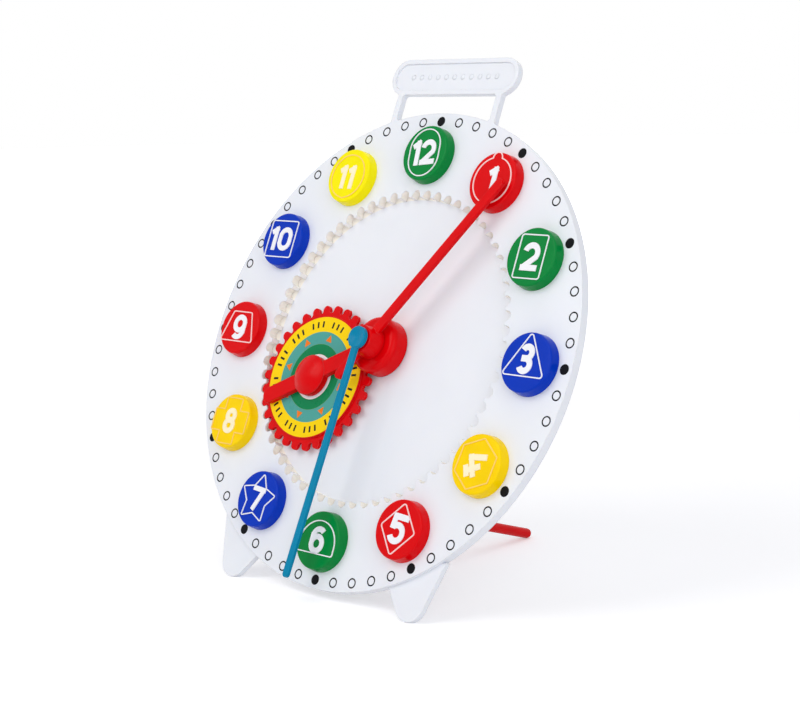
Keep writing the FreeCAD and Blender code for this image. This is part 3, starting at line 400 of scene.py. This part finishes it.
def mesh_object(name: str, mesh: bpy.types.Mesh) -> bpy.types.Object:
    """Links a new object that holds a mesh.

    Args:
        name: the object's name.
        mesh: what it holds.

    Returns:
        The new object.
    """
    thing = bpy.data.objects.new(name, mesh)
    bpy.context.scene.collection.objects.link(thing)
    return thing


def settled(thing: bpy.types.Object, name: str) -> bpy.types.Object:
    """Turns an object and its modifiers into one plain mesh at the origin.

    Args:
        thing: the object, which is removed.
        name: the new object's name.

    Returns:
        The new object.
    """
    bpy.context.view_layer.update()
    graph = bpy.context.evaluated_depsgraph_get()
    mesh = bpy.data.meshes.new_from_object(thing.evaluated_get(graph), depsgraph=graph)
    mesh.transform(thing.matrix_world)
    mesh.name = name
    bpy.data.objects.remove(thing, do_unlink=True)
    return mesh_object(name, mesh)


def piece_from(shape: bmesh.types.BMesh, name: str) -> bpy.types.Object:
    """Makes a finished shape an object, with its faces pointing outwards.

    Args:
        shape: the shape, which is freed.
        name: the object's name.

    Returns:
        The new object.
    """
    bmesh.ops.recalc_face_normals(shape, faces=shape.faces)
    mesh = bpy.data.meshes.new(name)
    shape.to_mesh(mesh)
    shape.free()
    return mesh_object(name, mesh)


def turned_piece(name: str, profile_mm: Sequence[Tuple[float, float]], steps: int,
                 closed: bool = False) -> bpy.types.Object:
    """A mesh turned from a profile of (radius, height) points round the z axis.

    Args:
        name: the object's name.
        profile_mm: the points, from the bottom outwards and up.
        steps: how many sides the round has.
        closed: whether the last point joins the first.

    Returns:
        The new object, with smooth faces.
    """
    shape = bmesh.new()
    rings = []
    for radius, high in profile_mm:
        count = steps if radius else 1
        rings.append([
            shape.verts.new((radius * MM * math.cos(math.tau * k / steps),
                             radius * MM * math.sin(math.tau * k / steps), high * MM))
            for k in range(count)
        ])
    for low, high in list(zip(rings, rings[1:])) + ([(rings[-1], rings[0])] if closed else []):
        for k in range(steps):
            after = (k + 1) % steps
            if len(low) == 1:
                shape.faces.new((low[0], high[after], high[k]))
            elif len(high) == 1:
                shape.faces.new((low[k], low[after], high[0]))
            else:
                shape.faces.new((low[k], low[after], high[after], high[k]))
    for face in shape.faces:
        face.smooth = True
    return piece_from(shape, name)


def flat_piece(name: str, outline_mm: Sequence[Tuple[float, float]], low_mm: float,
               top_mm: float, draft_mm: float = 0.0) -> bpy.types.Object:
    """A closed slab with one outline, narrowed a little towards its top.

    Args:
        name: the object's name.
        outline_mm: the corners, anticlockwise, round the origin.
        low_mm: height of the underside.
        top_mm: height of the top.
        draft_mm: how much the top's corners move towards the middle.

    Returns:
        The new object.
    """
    shape = bmesh.new()
    below, above = [], []
    for x, y in outline_mm:
        far = math.hypot(x, y)
        keep = (far - draft_mm) / far
        below.append(shape.verts.new((x * MM, y * MM, low_mm * MM)))
        above.append(shape.verts.new((x * keep * MM, y * keep * MM, top_mm * MM)))
    shape.faces.new(list(reversed(below)))
    shape.faces.new(above)
    for k in range(len(below)):
        after = (k + 1) % len(below)
        shape.faces.new((below[k], below[after], above[after], above[k]))
    return piece_from(shape, name)


@dataclass(frozen=True)
class RingPlan:
    """How copies stand on a circle.

    There are `count` places. With `skip` at 5, say, the first and every fifth after it stay
    empty, and with 0 none does.
    """

    count: int
    radius_mm: float
    first_degrees: float = 0.0
    skip: int = 0


class Copies:
    """A Geometry Nodes tree that sets copies of a small mesh on points."""

    def __init__(self, name: str, sizes: Sequence[Tuple[str, str]]) -> None:
        """Starts the tree with its named inputs.

        Args:
            name: the tree's name.
            sizes: name and kind of each input besides piece, count and material.
        """
        self.tree = bpy.data.node_groups.new(name, "GeometryNodeTree")
        face = self.tree.interface
        for label, kind in (("Geometry", "Geometry"), ("Piece", "Object"), ("Count", "Int"),
                            *sizes, ("Material", "Material")):
            face.new_socket(label, in_out="INPUT", socket_type="NodeSocket" + kind)
        face.new_socket("Geometry", in_out="OUTPUT", socket_type="NodeSocketGeometry")
        self.given = add(self.tree, "NodeGroupInput").outputs

    def place_copies(self, where: Dict[str, bpy.types.NodeSocket]) -> None:
        """Ends the tree: copies on the points, made real and given their material.

        Args:
            where: the points, and which of them are used and how each copy is turned.
        """
        tree, given = self.tree, self.given
        piece = add(tree, "GeometryNodeObjectInfo", {"Object": given["Piece"]})
        copies = add(tree, "GeometryNodeInstanceOnPoints",
                     {**where, "Instance": piece.outputs["Geometry"]})
        real = add(tree, "GeometryNodeRealizeInstances", {"Geometry": copies.outputs[0]})
        painted = add(tree, "GeometryNodeSetMaterial",
                      {"Geometry": real.outputs[0], "Material": given["Material"]})
        add(tree, "NodeGroupOutput", {0: painted.outputs[0]})

    def run(self, name: str, piece: bpy.types.Object, place: Matrix,
            values: Dict) -> bpy.types.Object:
        """Makes one set of copies as a plain mesh and removes the small piece.

        Args:
            name: the new object's name.
            piece: the small mesh that is copied.
            place: where the copies go in the row's frame.
            values: the tree's other inputs by name.

        Returns:
            The new object.
        """
        carrier = mesh_object(name + "_carrier", bpy.data.meshes.new(name + "_carrier"))
        carrier.matrix_world = place
        modifier = carrier.modifiers.new(name, "NODES")
        modifier.node_group = self.tree
        sockets = {s.name: s.identifier for s in self.tree.interface.items_tree
                   if s.in_out == "INPUT"}
        for key, value in {"Piece": piece, **values}.items():
            modifier[sockets[key]] = value
        made = settled(carrier, name)
        bpy.data.objects.remove(piece, do_unlink=True)
        return made


class RingOfCopies(Copies):
    """Copies of a small mesh round a circle, its y pointing outwards."""

    def __init__(self) -> None:
        """Wires the tree: a place and a turn for each copy that isn't skipped."""
        super().__init__("ring_of_copies",
                         (("Radius", "Float"), ("First", "Float"), ("Skip", "Int")))
        tree, given = self.tree, self.given
        index = add(tree, "GeometryNodeInputIndex").outputs[0]
        share = add(tree, "ShaderNodeMath", {0: index, 1: given["Count"]}, operation="DIVIDE")
        angle = add(tree, "ShaderNodeMath", {0: share.outputs[0], 1: math.tau, 2: given["First"]},
                    operation="MULTIPLY_ADD")
        sine = add(tree, "ShaderNodeMath", {0: angle.outputs[0]}, operation="SINE")
        cosine = add(tree, "ShaderNodeMath", {0: angle.outputs[0]}, operation="COSINE")
        across = add(tree, "ShaderNodeMath", {0: sine.outputs[0], 1: given["Radius"]},
                     operation="MULTIPLY")
        up = add(tree, "ShaderNodeMath", {0: cosine.outputs[0], 1: given["Radius"]},
                 operation="MULTIPLY")
        place = add(tree, "ShaderNodeCombineXYZ", {"X": across.outputs[0], "Y": up.outputs[0]})
        back = add(tree, "ShaderNodeMath", {0: angle.outputs[0], 1: -1.0}, operation="MULTIPLY")
        facing = add(tree, "ShaderNodeCombineXYZ", {"Z": back.outputs[0]})
        rest = add(tree, "ShaderNodeMath", {0: index, 1: given["Skip"]}, operation="MODULO")
        between = add(tree, "ShaderNodeMath", {0: rest.outputs[0], 1: 0.5},
                      operation="GREATER_THAN")
        every = add(tree, "ShaderNodeMath", {0: given["Skip"], 1: 0.5}, operation="LESS_THAN")
        kept = add(tree, "ShaderNodeMath", {0: between.outputs[0], 1: every.outputs[0]},
                   operation="MAXIMUM")
        points = add(tree, "GeometryNodePoints",
                     {"Count": given["Count"], "Position": place.outputs[0]})
        self.place_copies({"Points": points.outputs[0], "Selection": kept.outputs[0],
                           "Rotation": facing.outputs[0]})

    def make(self, name: str, piece: bpy.types.Object, plan: RingPlan,
             material: bpy.types.Material, place: Matrix) -> bpy.types.Object:
        """Makes one ring of copies.

        Args:
            name: the new object's name.
            piece: the small mesh that is copied, its y pointing outwards.
            plan: how the copies stand.
            material: what the copies are made of.
            place: where the ring goes in the row's frame.

        Returns:
            The new object.
        """
        return self.run(name, piece, place, {
            "Count": plan.count, "Radius": plan.radius_mm * MM,
            "First": math.radians(plan.first_degrees), "Skip": plan.skip, "Material": material})


class RowOfCopies(Copies):
    """Copies of a small mesh along a straight line."""

    def __init__(self) -> None:
        """Wires the tree: a line of points with one copy on each."""
        super().__init__("row_of_copies", (("Spacing", "Vector"), ("Start", "Vector")))
        line = add(self.tree, "GeometryNodeMeshLine", {
            "Count": self.given["Count"], "Start Location": self.given["Start"],
            "Offset": self.given["Spacing"]})
        self.place_copies({"Points": line.outputs[0]})

    def make(self, name: str, piece: bpy.types.Object, count: int, spacing_mm: float,
             material: bpy.types.Material, place: Matrix) -> bpy.types.Object:
        """Makes one row of copies, centred on its place.

        Args:
            name: the new object's name.
            piece: the small mesh that is copied.
            count: how many copies there are.
            spacing_mm: from one copy to the next, along x.
            material: what the copies are made of.
            place: where the row goes in the row's frame.

        Returns:
            The new object.
        """
        start = (-(count - 1) / 2 * spacing_mm * MM, 0.0, 0.0)
        return self.run(name, piece, place, {
            "Count": count, "Spacing": (spacing_mm * MM, 0.0, 0.0), "Start": start,
            "Material": material})


@dataclass
class Workshop:
    """What every sub-assembly needs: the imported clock, its dial and the shared tools."""

    frame: Dict
    dial: Dial
    ring: RingOfCopies
    row: RowOfCopies
    made: Dict[str, bpy.types.Material] = field(default_factory=dict)

    def plain(self, finish: Finish) -> bpy.types.Material:
        """The material of one finish, made the first time it is asked for.

        Args:
            finish: which finish.

        Returns:
            Its material.
        """
        if finish.name not in self.made:
            self.made[finish.name] = finish.material()
        return self.made[finish.name]

    def paint(self, node: str, material: bpy.types.Material) -> None:
        """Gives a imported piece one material.

        Args:
            node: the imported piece's name.
            material: what it is made of.
        """
        mesh = self.frame["nodes"][node].data
        if not mesh.materials:
            mesh.materials.append(material)
        for at in range(len(mesh.materials)):
            mesh.materials[at] = material
        LOG.info("%s: %s", node, material.name)

    def carried(self, piece: bpy.types.Object, body: str, slot: str) -> None:
        """Lets a new piece ride on a body.

        Args:
            piece: the new piece.
            body: the body that carries it.
            slot: not used.
        """
        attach(piece, body)
        LOG.info("%s rides on %s", piece.name, body)


@dataclass
class DialBody:
    """White dial with its gear window, floor, rod socket, axle and printed marks."""

    shop: Workshop
    mark_circle: float = 115.7
    mark_radius: float = 2.5
    mark_line: float = 0.7
    mark_sides: int = 36
    ink_rise: float = 0.12
    ink_shoulder: float = 0.8
    ring_edge: float = 0.08
    dot_edge: float = 0.1
    dot_crown: float = 0.5
    # Where the painted light of the tooth gaps lies: radii, and heights below the face.
    gap_inner: float = 76.5
    gap_outer: float = 80.6
    gap_low: float = -5.5
    gap_high: float = -0.3
    gap_soft: float = 0.3
    plate_back: float = -2.2
    rib_place: float = 99.8
    rib_first: float = 15.0
    rib_half: float = 17.2
    rib_wide: float = 1.2
    rib_foot: float = -4.4
    collar_place: float = 97.5
    collar_inner: float = 14.25
    collar_outer: float = 15.35
    collar_sides: int = 48
    overlap: float = 0.05
    panel_middle: float = 139.4
    panel_sink: float = -0.8
    stud_profile: Tuple[Tuple[float, float], ...] = (
        (0, -0.02), (1.5, -0.02), (1.35, 0.16), (0.8, 0.32), (0, 0.36),
    )
    stud_sides: int = 24
    stud_count: int = 11
    stud_spacing: float = 5.6

    def dress(self) -> None:
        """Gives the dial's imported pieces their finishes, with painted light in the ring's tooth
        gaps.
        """
        shop = self.shop
        # Painted light: the ring's recessed tooth gaps get a brighter, warmer white than the
        # plastic, lifting the shade that falls in them.
        gap = RoundZone.at(shop.dial.matrix, self.gap_inner, self.gap_outer, Colour.TOOTH_GAP,
                           heights_mm=(self.gap_low, self.gap_high), soft_mm=self.gap_soft)
        shell = WHITE.material([gap], "polystyrene_white_with_tooth_gaps")
        shop.paint("dial_plate", shell)
        shop.paint("gear_floor", shell)
        shop.paint("rod_socket", shop.plain(WHITE))
        shop.paint("centre_axle", shop.plain(RED))

    def minute_marks(self) -> None:
        """Printed rings and dots round the rim, laid as ink with a soft edge."""
        shop, outer, ink = self.shop, self.mark_radius, self.ink_rise
        inner, shoulder = outer - self.mark_line, self.ink_rise * self.ink_shoulder
        ring = turned_piece("mark_ring", [
            (inner, 0.0), (outer, 0.0), (outer - self.ring_edge, shoulder),
            ((outer + inner) / 2, ink), (inner + self.ring_edge, shoulder)],
            self.mark_sides, True)
        dot = turned_piece("mark_dot", [
            (0, 0.0), (outer, 0.0), (outer - self.dot_edge, shoulder),
            (outer - self.dot_crown, ink), (0, ink)], self.mark_sides)
        black, place = shop.plain(INK), shop.dial.matrix
        rings = shop.ring.make("minute_rings", ring, RingPlan(60, self.mark_circle, skip=5),
                               black, place)
        dots = shop.ring.make("minute_dots", dot, RingPlan(12, self.mark_circle), black, place)
        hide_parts("minute_marks")
        for thing in (rings, dots):
            shop.carried(thing, "dial", "black_print")

    def back(self) -> None:
        """Stiffening ribs between the number holes and a collar round each of them."""
        shop, half, wide = self.shop, self.rib_half, self.rib_wide / 2
        white, place, root = shop.plain(WHITE), shop.dial.matrix, self.plate_back + self.overlap
        rib = flat_piece("rib", [(wide, -half), (wide, half), (-wide, half), (-wide, -half)],
                         self.rib_foot, root)
        ribs = shop.ring.make("back_ribs", rib, RingPlan(12, self.rib_place, self.rib_first),
                              white, place)
        collar = turned_piece("collar", [
            (self.collar_inner, root), (self.collar_inner, self.rib_foot),
            (self.collar_outer, self.rib_foot), (self.collar_outer, root)],
            self.collar_sides, True)
        collars = shop.ring.make("peg_collars", collar, RingPlan(12, self.collar_place), white,
                                 place)
        for thing in (ribs, collars):
            for face in thing.data.polygons:
                face.use_smooth = False
            shop.carried(thing, "dial", "white_plastic")

    def grip(self) -> None:
        """A row of low moulded studs on the handle's sunken panel."""
        shop = self.shop
        stud = turned_piece("stud", self.stud_profile, self.stud_sides)
        place = shop.dial.at(0, self.panel_middle, self.panel_sink)
        studs = shop.row.make("handle_studs", stud, self.stud_count, self.stud_spacing,
                              shop.plain(WHITE), place)
        shop.carried(studs, "dial", "white_plastic")

    def build(self) -> None:
        """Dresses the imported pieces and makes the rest."""
        self.dress()
        self.minute_marks()
        self.back()
        self.grip()


@dataclass
class NumberDiscs:
    """Twelve loose discs with stamped numerals and outlines."""

    shop: Workshop
    circle: float = 97.5
    edge: float = 15.0
    colours: Tuple[Finish, ...] = (
        RED, GREEN, BLUE, YELLOW, RED, GREEN, BLUE, YELLOW, RED, BLUE, LEMON, GREEN,
    )
    outline_soft: float = 0.4
    # Number, its foil, the radius past which that is the outline, and the outline's tint.
    outlines: Tuple[Tuple[int, Finish, float, Colour], ...] = (
        (1, FOIL, 9.0, Colour.PRINT_PINK), (5, FOIL, 8.2, Colour.PRINT_PINK),
        (9, FOIL, 7.3, Colour.PRINT_PINK), (4, CREAM_FOIL, 9.0, Colour.PRINT_AMBER),
        (8, CREAM_FOIL, 7.5, Colour.PRINT_AMBER), (11, CREAM_FOIL, 9.0, Colour.PRINT_AMBER),
    )

    def build(self) -> None:
        """Gives each disc its plastic and its foil."""
        shop = self.shop
        tinted = {number: rest for number, *rest in self.outlines}
        for number, finish in enumerate(self.colours, 1):
            shop.paint(f"number_{number:02d}", shop.plain(finish))
            foil = shop.plain(FOIL)
            if number in tinted:
                base, radius, colour = tinted[number]
                zone = RoundZone.at(shop.dial.at(30 * number, self.circle), radius, self.edge,
                                    colour, soft_mm=self.outline_soft)
                foil = base.material([zone], f"{base.name}_{number:02d}")
            shop.paint(f"number_{number:02d}_relief", foil)


@dataclass
class PlanetGear:
    """The rolling gear with its pin and its round label."""

    shop: Workshop
    yellow_inner: float = 23.3
    teal_inner: float = 16.9
    green_inner: float = 11.6
    dash_circle: float = 27.1
    triangle_circle: float = 20.1
    triangle_first: float = 10.0
    label_top: float = 0.85
    ink: float = 0.05
    ink_draft: float = 0.05
    dash_half: Tuple[float, float] = (0.55, 1.6)
    triangle: Tuple[Tuple[float, float], ...] = ((2.1, -1.5), (0.0, 2.1), (-2.1, -1.5))

    def place(self, high_mm: float) -> Matrix:
        """The planet's axis at one height.

        Args:
            high_mm: height over the face.

        Returns:
            A frame there, its z axis pointing out of the face.
        """
        joint = next(j for j in self.shop.frame["record"]["behaviour"]["joints"]
                     if j["name"] == "planet_spin")
        middle = self.shop.dial.matrix.inverted() @ Vector(joint["pos_m"])
        return self.shop.dial.matrix @ Matrix.Translation(
            Vector((middle.x, middle.y, high_mm * MM)))

    def dress(self) -> None:
        """Gives the gear, its pin and the label their finishes."""
        shop, axis = self.shop, self.place(0.0)
        zones = [
            RoundZone.at(axis, self.teal_inner, self.yellow_inner, Colour.LABEL_TEAL),
            RoundZone.at(axis, self.green_inner, self.teal_inner, Colour.LABEL_GREEN),
            RoundZone.at(axis, -1.0, self.green_inner, Colour.PRINT_WHITE),
        ]
        shop.paint("planet_gear", shop.plain(RED))
        shop.paint("planet_pin", shop.plain(RED))
        shop.paint("planet_label", LABEL.material(zones))

    def motifs(self) -> None:
        """A plain ring of dashes and a sparse one of triangles printed on the label."""
        shop, place, top = self.shop, self.place(self.label_top), self.ink
        wide, tall = self.dash_half
        dash = flat_piece("dash", [(wide, -tall), (wide, tall), (-wide, tall), (-wide, -tall)],
                          0.0, top, self.ink_draft)
        triangle = flat_piece("triangle", self.triangle, 0.0, top, self.ink_draft)
        made = (
            shop.ring.make("label_dashes", dash, RingPlan(48, self.dash_circle, skip=4),
                           shop.plain(DASH_INK), place),
            shop.ring.make("label_triangles", triangle,
                           RingPlan(8, self.triangle_circle, self.triangle_first),
                           shop.plain(TRIANGLE_INK), place),
        )
        for thing in made:
            shop.carried(thing, "planet", "label_print")

    def build(self) -> None:
        """Dresses the gear and prints its label."""
        self.dress()
        self.motifs()


@dataclass
class Hands:
    """The three hands, the pinion under them and the rod behind."""

    shop: Workshop
    red_pieces: Tuple[str, ...] = ("hour_hand", "drive_pinion", "minute_hand", "stand_rod")
    teal_pieces: Tuple[str, ...] = ("second_hand",)

    def build(self) -> None:
        """Gives the hands and the rod their plastics."""
        for node in self.red_pieces:
            self.shop.paint(node, self.shop.plain(RED))
        for node in self.teal_pieces:
            self.shop.paint(node, self.shop.plain(TEAL))


def seen_plainly(tree: bpy.types.NodeTree) -> bpy.types.NodeSocket:
    """Tells a backdrop that is seen from one that only lights the clock.

    Args:
        tree: the backdrop's node tree.

    Returns:
        One for the eye's own rays, mirrored rays and rays through glass, else zero.
    """
    path = add(tree, "ShaderNodeLightPath").outputs
    near = add(tree, "ShaderNodeMath", {0: path["Is Camera Ray"], 1: path["Is Glossy Ray"]},
               operation="MAXIMUM")
    seen = add(tree, "ShaderNodeMath", {0: near.outputs[0], 1: path["Is Transmission Ray"]},
               operation="MAXIMUM")
    return seen.outputs[0]


@dataclass(frozen=True)
class Lamp:
    """One soft square lamp: place, width in metres, power in watts and colour."""

    name: str
    place: Tuple[float, float, float]
    width: float
    power: float
    colour: Colour


@dataclass
class Studio:
    """Pale floor, white surround, soft lamps and the photograph's viewpoint."""

    aim_mm: Tuple[float, float, float] = (0.0, -9.5, 106.8)
    distance_mm: float = 922.8
    azimuth: float = 44.904
    elevation: float = 8.653
    roll: float = -1.127
    lens_mm: float = 85.096
    sensor_mm: float = 36.0
    floor_radius: float = 6000.0
    floor_sides: int = 64
    glow_near: float = 0.31
    glow_far: float = 1.0
    glow_from: float = 500.0
    glow_to: float = 1500.0
    surround: float = 0.485
    lamps: Tuple[Lamp, ...] = (
        Lamp("key", (-0.45, -1.2, 1.25), 1.0, 8.7, Colour.LAMP_WARM),
        Lamp("fill", (1.3, -0.8, 0.7), 1.2, 8.0, Colour.PURE_WHITE),
        Lamp("top", (0.0, 0.4, 1.6), 1.4, 4.0, Colour.PURE_WHITE),
    )

    def camera(self) -> None:
        """Sets the camera at the photograph's viewing angle."""
        turn, rise, roll = (math.radians(a) for a in (self.azimuth, self.elevation, self.roll))
        back = Vector((math.cos(rise) * math.sin(turn), -math.cos(rise) * math.cos(turn),
                       math.sin(rise)))
        level = Vector((math.cos(turn), math.sin(turn), 0.0))
        plumb = back.cross(level)
        right = level * math.cos(roll) + plumb * math.sin(roll)
        up = plumb * math.cos(roll) - level * math.sin(roll)
        place = (Vector(self.aim_mm) + back * self.distance_mm) * MM
        lens = bpy.data.cameras.new("camera")
        lens.sensor_width, lens.lens = self.sensor_mm, self.lens_mm
        lens.clip_start, lens.clip_end = 0.01, 100.0
        lens.dof.use_dof = False
        eye = bpy.data.objects.new("camera", lens)
        bpy.context.scene.collection.objects.link(eye)
        stand = Matrix((right, up, back)).transposed().to_4x4()
        eye.matrix_world = Matrix.Translation(place) @ stand
        bpy.context.scene.camera = eye

    def floor(self) -> None:
        """A pale floor that looks white where nothing shades it."""
        floor = turned_piece("floor", [(0, 0), (self.floor_radius, 0)], self.floor_sides)
        # Matt background paper: no sheen, so that only the clock's shadow shows on it.
        paper = bpy.data.materials.new("studio_paper")
        paper.use_nodes = True
        tree = paper.node_tree
        tree.nodes.clear()
        coords = add(tree, "ShaderNodeTexCoord")
        away = add(tree, "ShaderNodeVectorMath", {0: coords.outputs["Object"]},
                   operation="LENGTH")
        rise = add(tree, "ShaderNodeMapRange", {
            "Value": away.outputs["Value"], "From Min": self.glow_from * MM,
            "From Max": self.glow_to * MM, "To Min": self.glow_near, "To Max": self.glow_far})
        glow = add(tree, "ShaderNodeMath", {0: seen_plainly(tree), 1: rise.outputs[0]},
                   operation="MULTIPLY")
        matt = add(tree, "ShaderNodeBsdfPrincipled", {
            "Base Color": linear(Colour.FLOOR.value), "Roughness": 0.7,
            "Specular IOR Level": 0.2})
        light = add(tree, "ShaderNodeEmission", {
            "Color": linear(Colour.PURE_WHITE.value), "Strength": glow.outputs[0]})
        both = add(tree, "ShaderNodeAddShader", {0: matt.outputs[0], 1: light.outputs[0]})
        add(tree, "ShaderNodeOutputMaterial", {"Surface": both.outputs[0]})
        floor.data.materials.append(paper)

    def world(self) -> None:
        """A soft even surround that looks white to the camera and in reflections."""
        world = bpy.data.worlds.new("surround")
        world.use_nodes = True
        tree = world.node_tree
        tree.nodes.clear()
        lit = add(tree, "ShaderNodeBackground", {
            "Color": linear(Colour.SKY.value), "Strength": self.surround})
        white = add(tree, "ShaderNodeBackground", {
            "Color": linear(Colour.PURE_WHITE.value), "Strength": 1.0})
        mixed = add(tree, "ShaderNodeMixShader", {
            0: seen_plainly(tree), 1: lit.outputs[0], 2: white.outputs[0]})
        add(tree, "ShaderNodeOutputWorld", {"Surface": mixed.outputs[0]})
        bpy.context.scene.world = world

    def light(self) -> None:
        """Hangs the lamps, each looking at the clock's middle."""
        for lamp in self.lamps:
            data = bpy.data.lights.new(lamp.name, "AREA")
            data.shape, data.size, data.energy = "SQUARE", lamp.width, lamp.power
            data.color = linear(lamp.colour.value)[:3]
            thing = bpy.data.objects.new(lamp.name, data)
            bpy.context.scene.collection.objects.link(thing)
            look = Vector(self.aim_mm) * MM - Vector(lamp.place)
            thing.location = lamp.place
            thing.rotation_euler = look.to_track_quat("-Z", "Y").to_euler()

    def build(self) -> None:
        """Sets up floor, surround, lamps and camera."""
        self.camera()
        self.floor()
        self.world()
        self.light()
        bpy.context.scene.view_settings.view_transform = "Standard"


def main() -> None:
    """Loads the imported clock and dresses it."""
    logging.basicConfig(level=logging.INFO, format="%(name)s %(message)s")
    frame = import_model()
    shop = Workshop(frame, Dial.from_record(frame["record"]), RingOfCopies(), RowOfCopies())
    for part in (DialBody(shop), NumberDiscs(shop), PlanetGear(shop), Hands(shop), Studio()):
        part.build()
        LOG.info("%s is done", type(part).__name__)


if __name__ == "__main__":
    main()
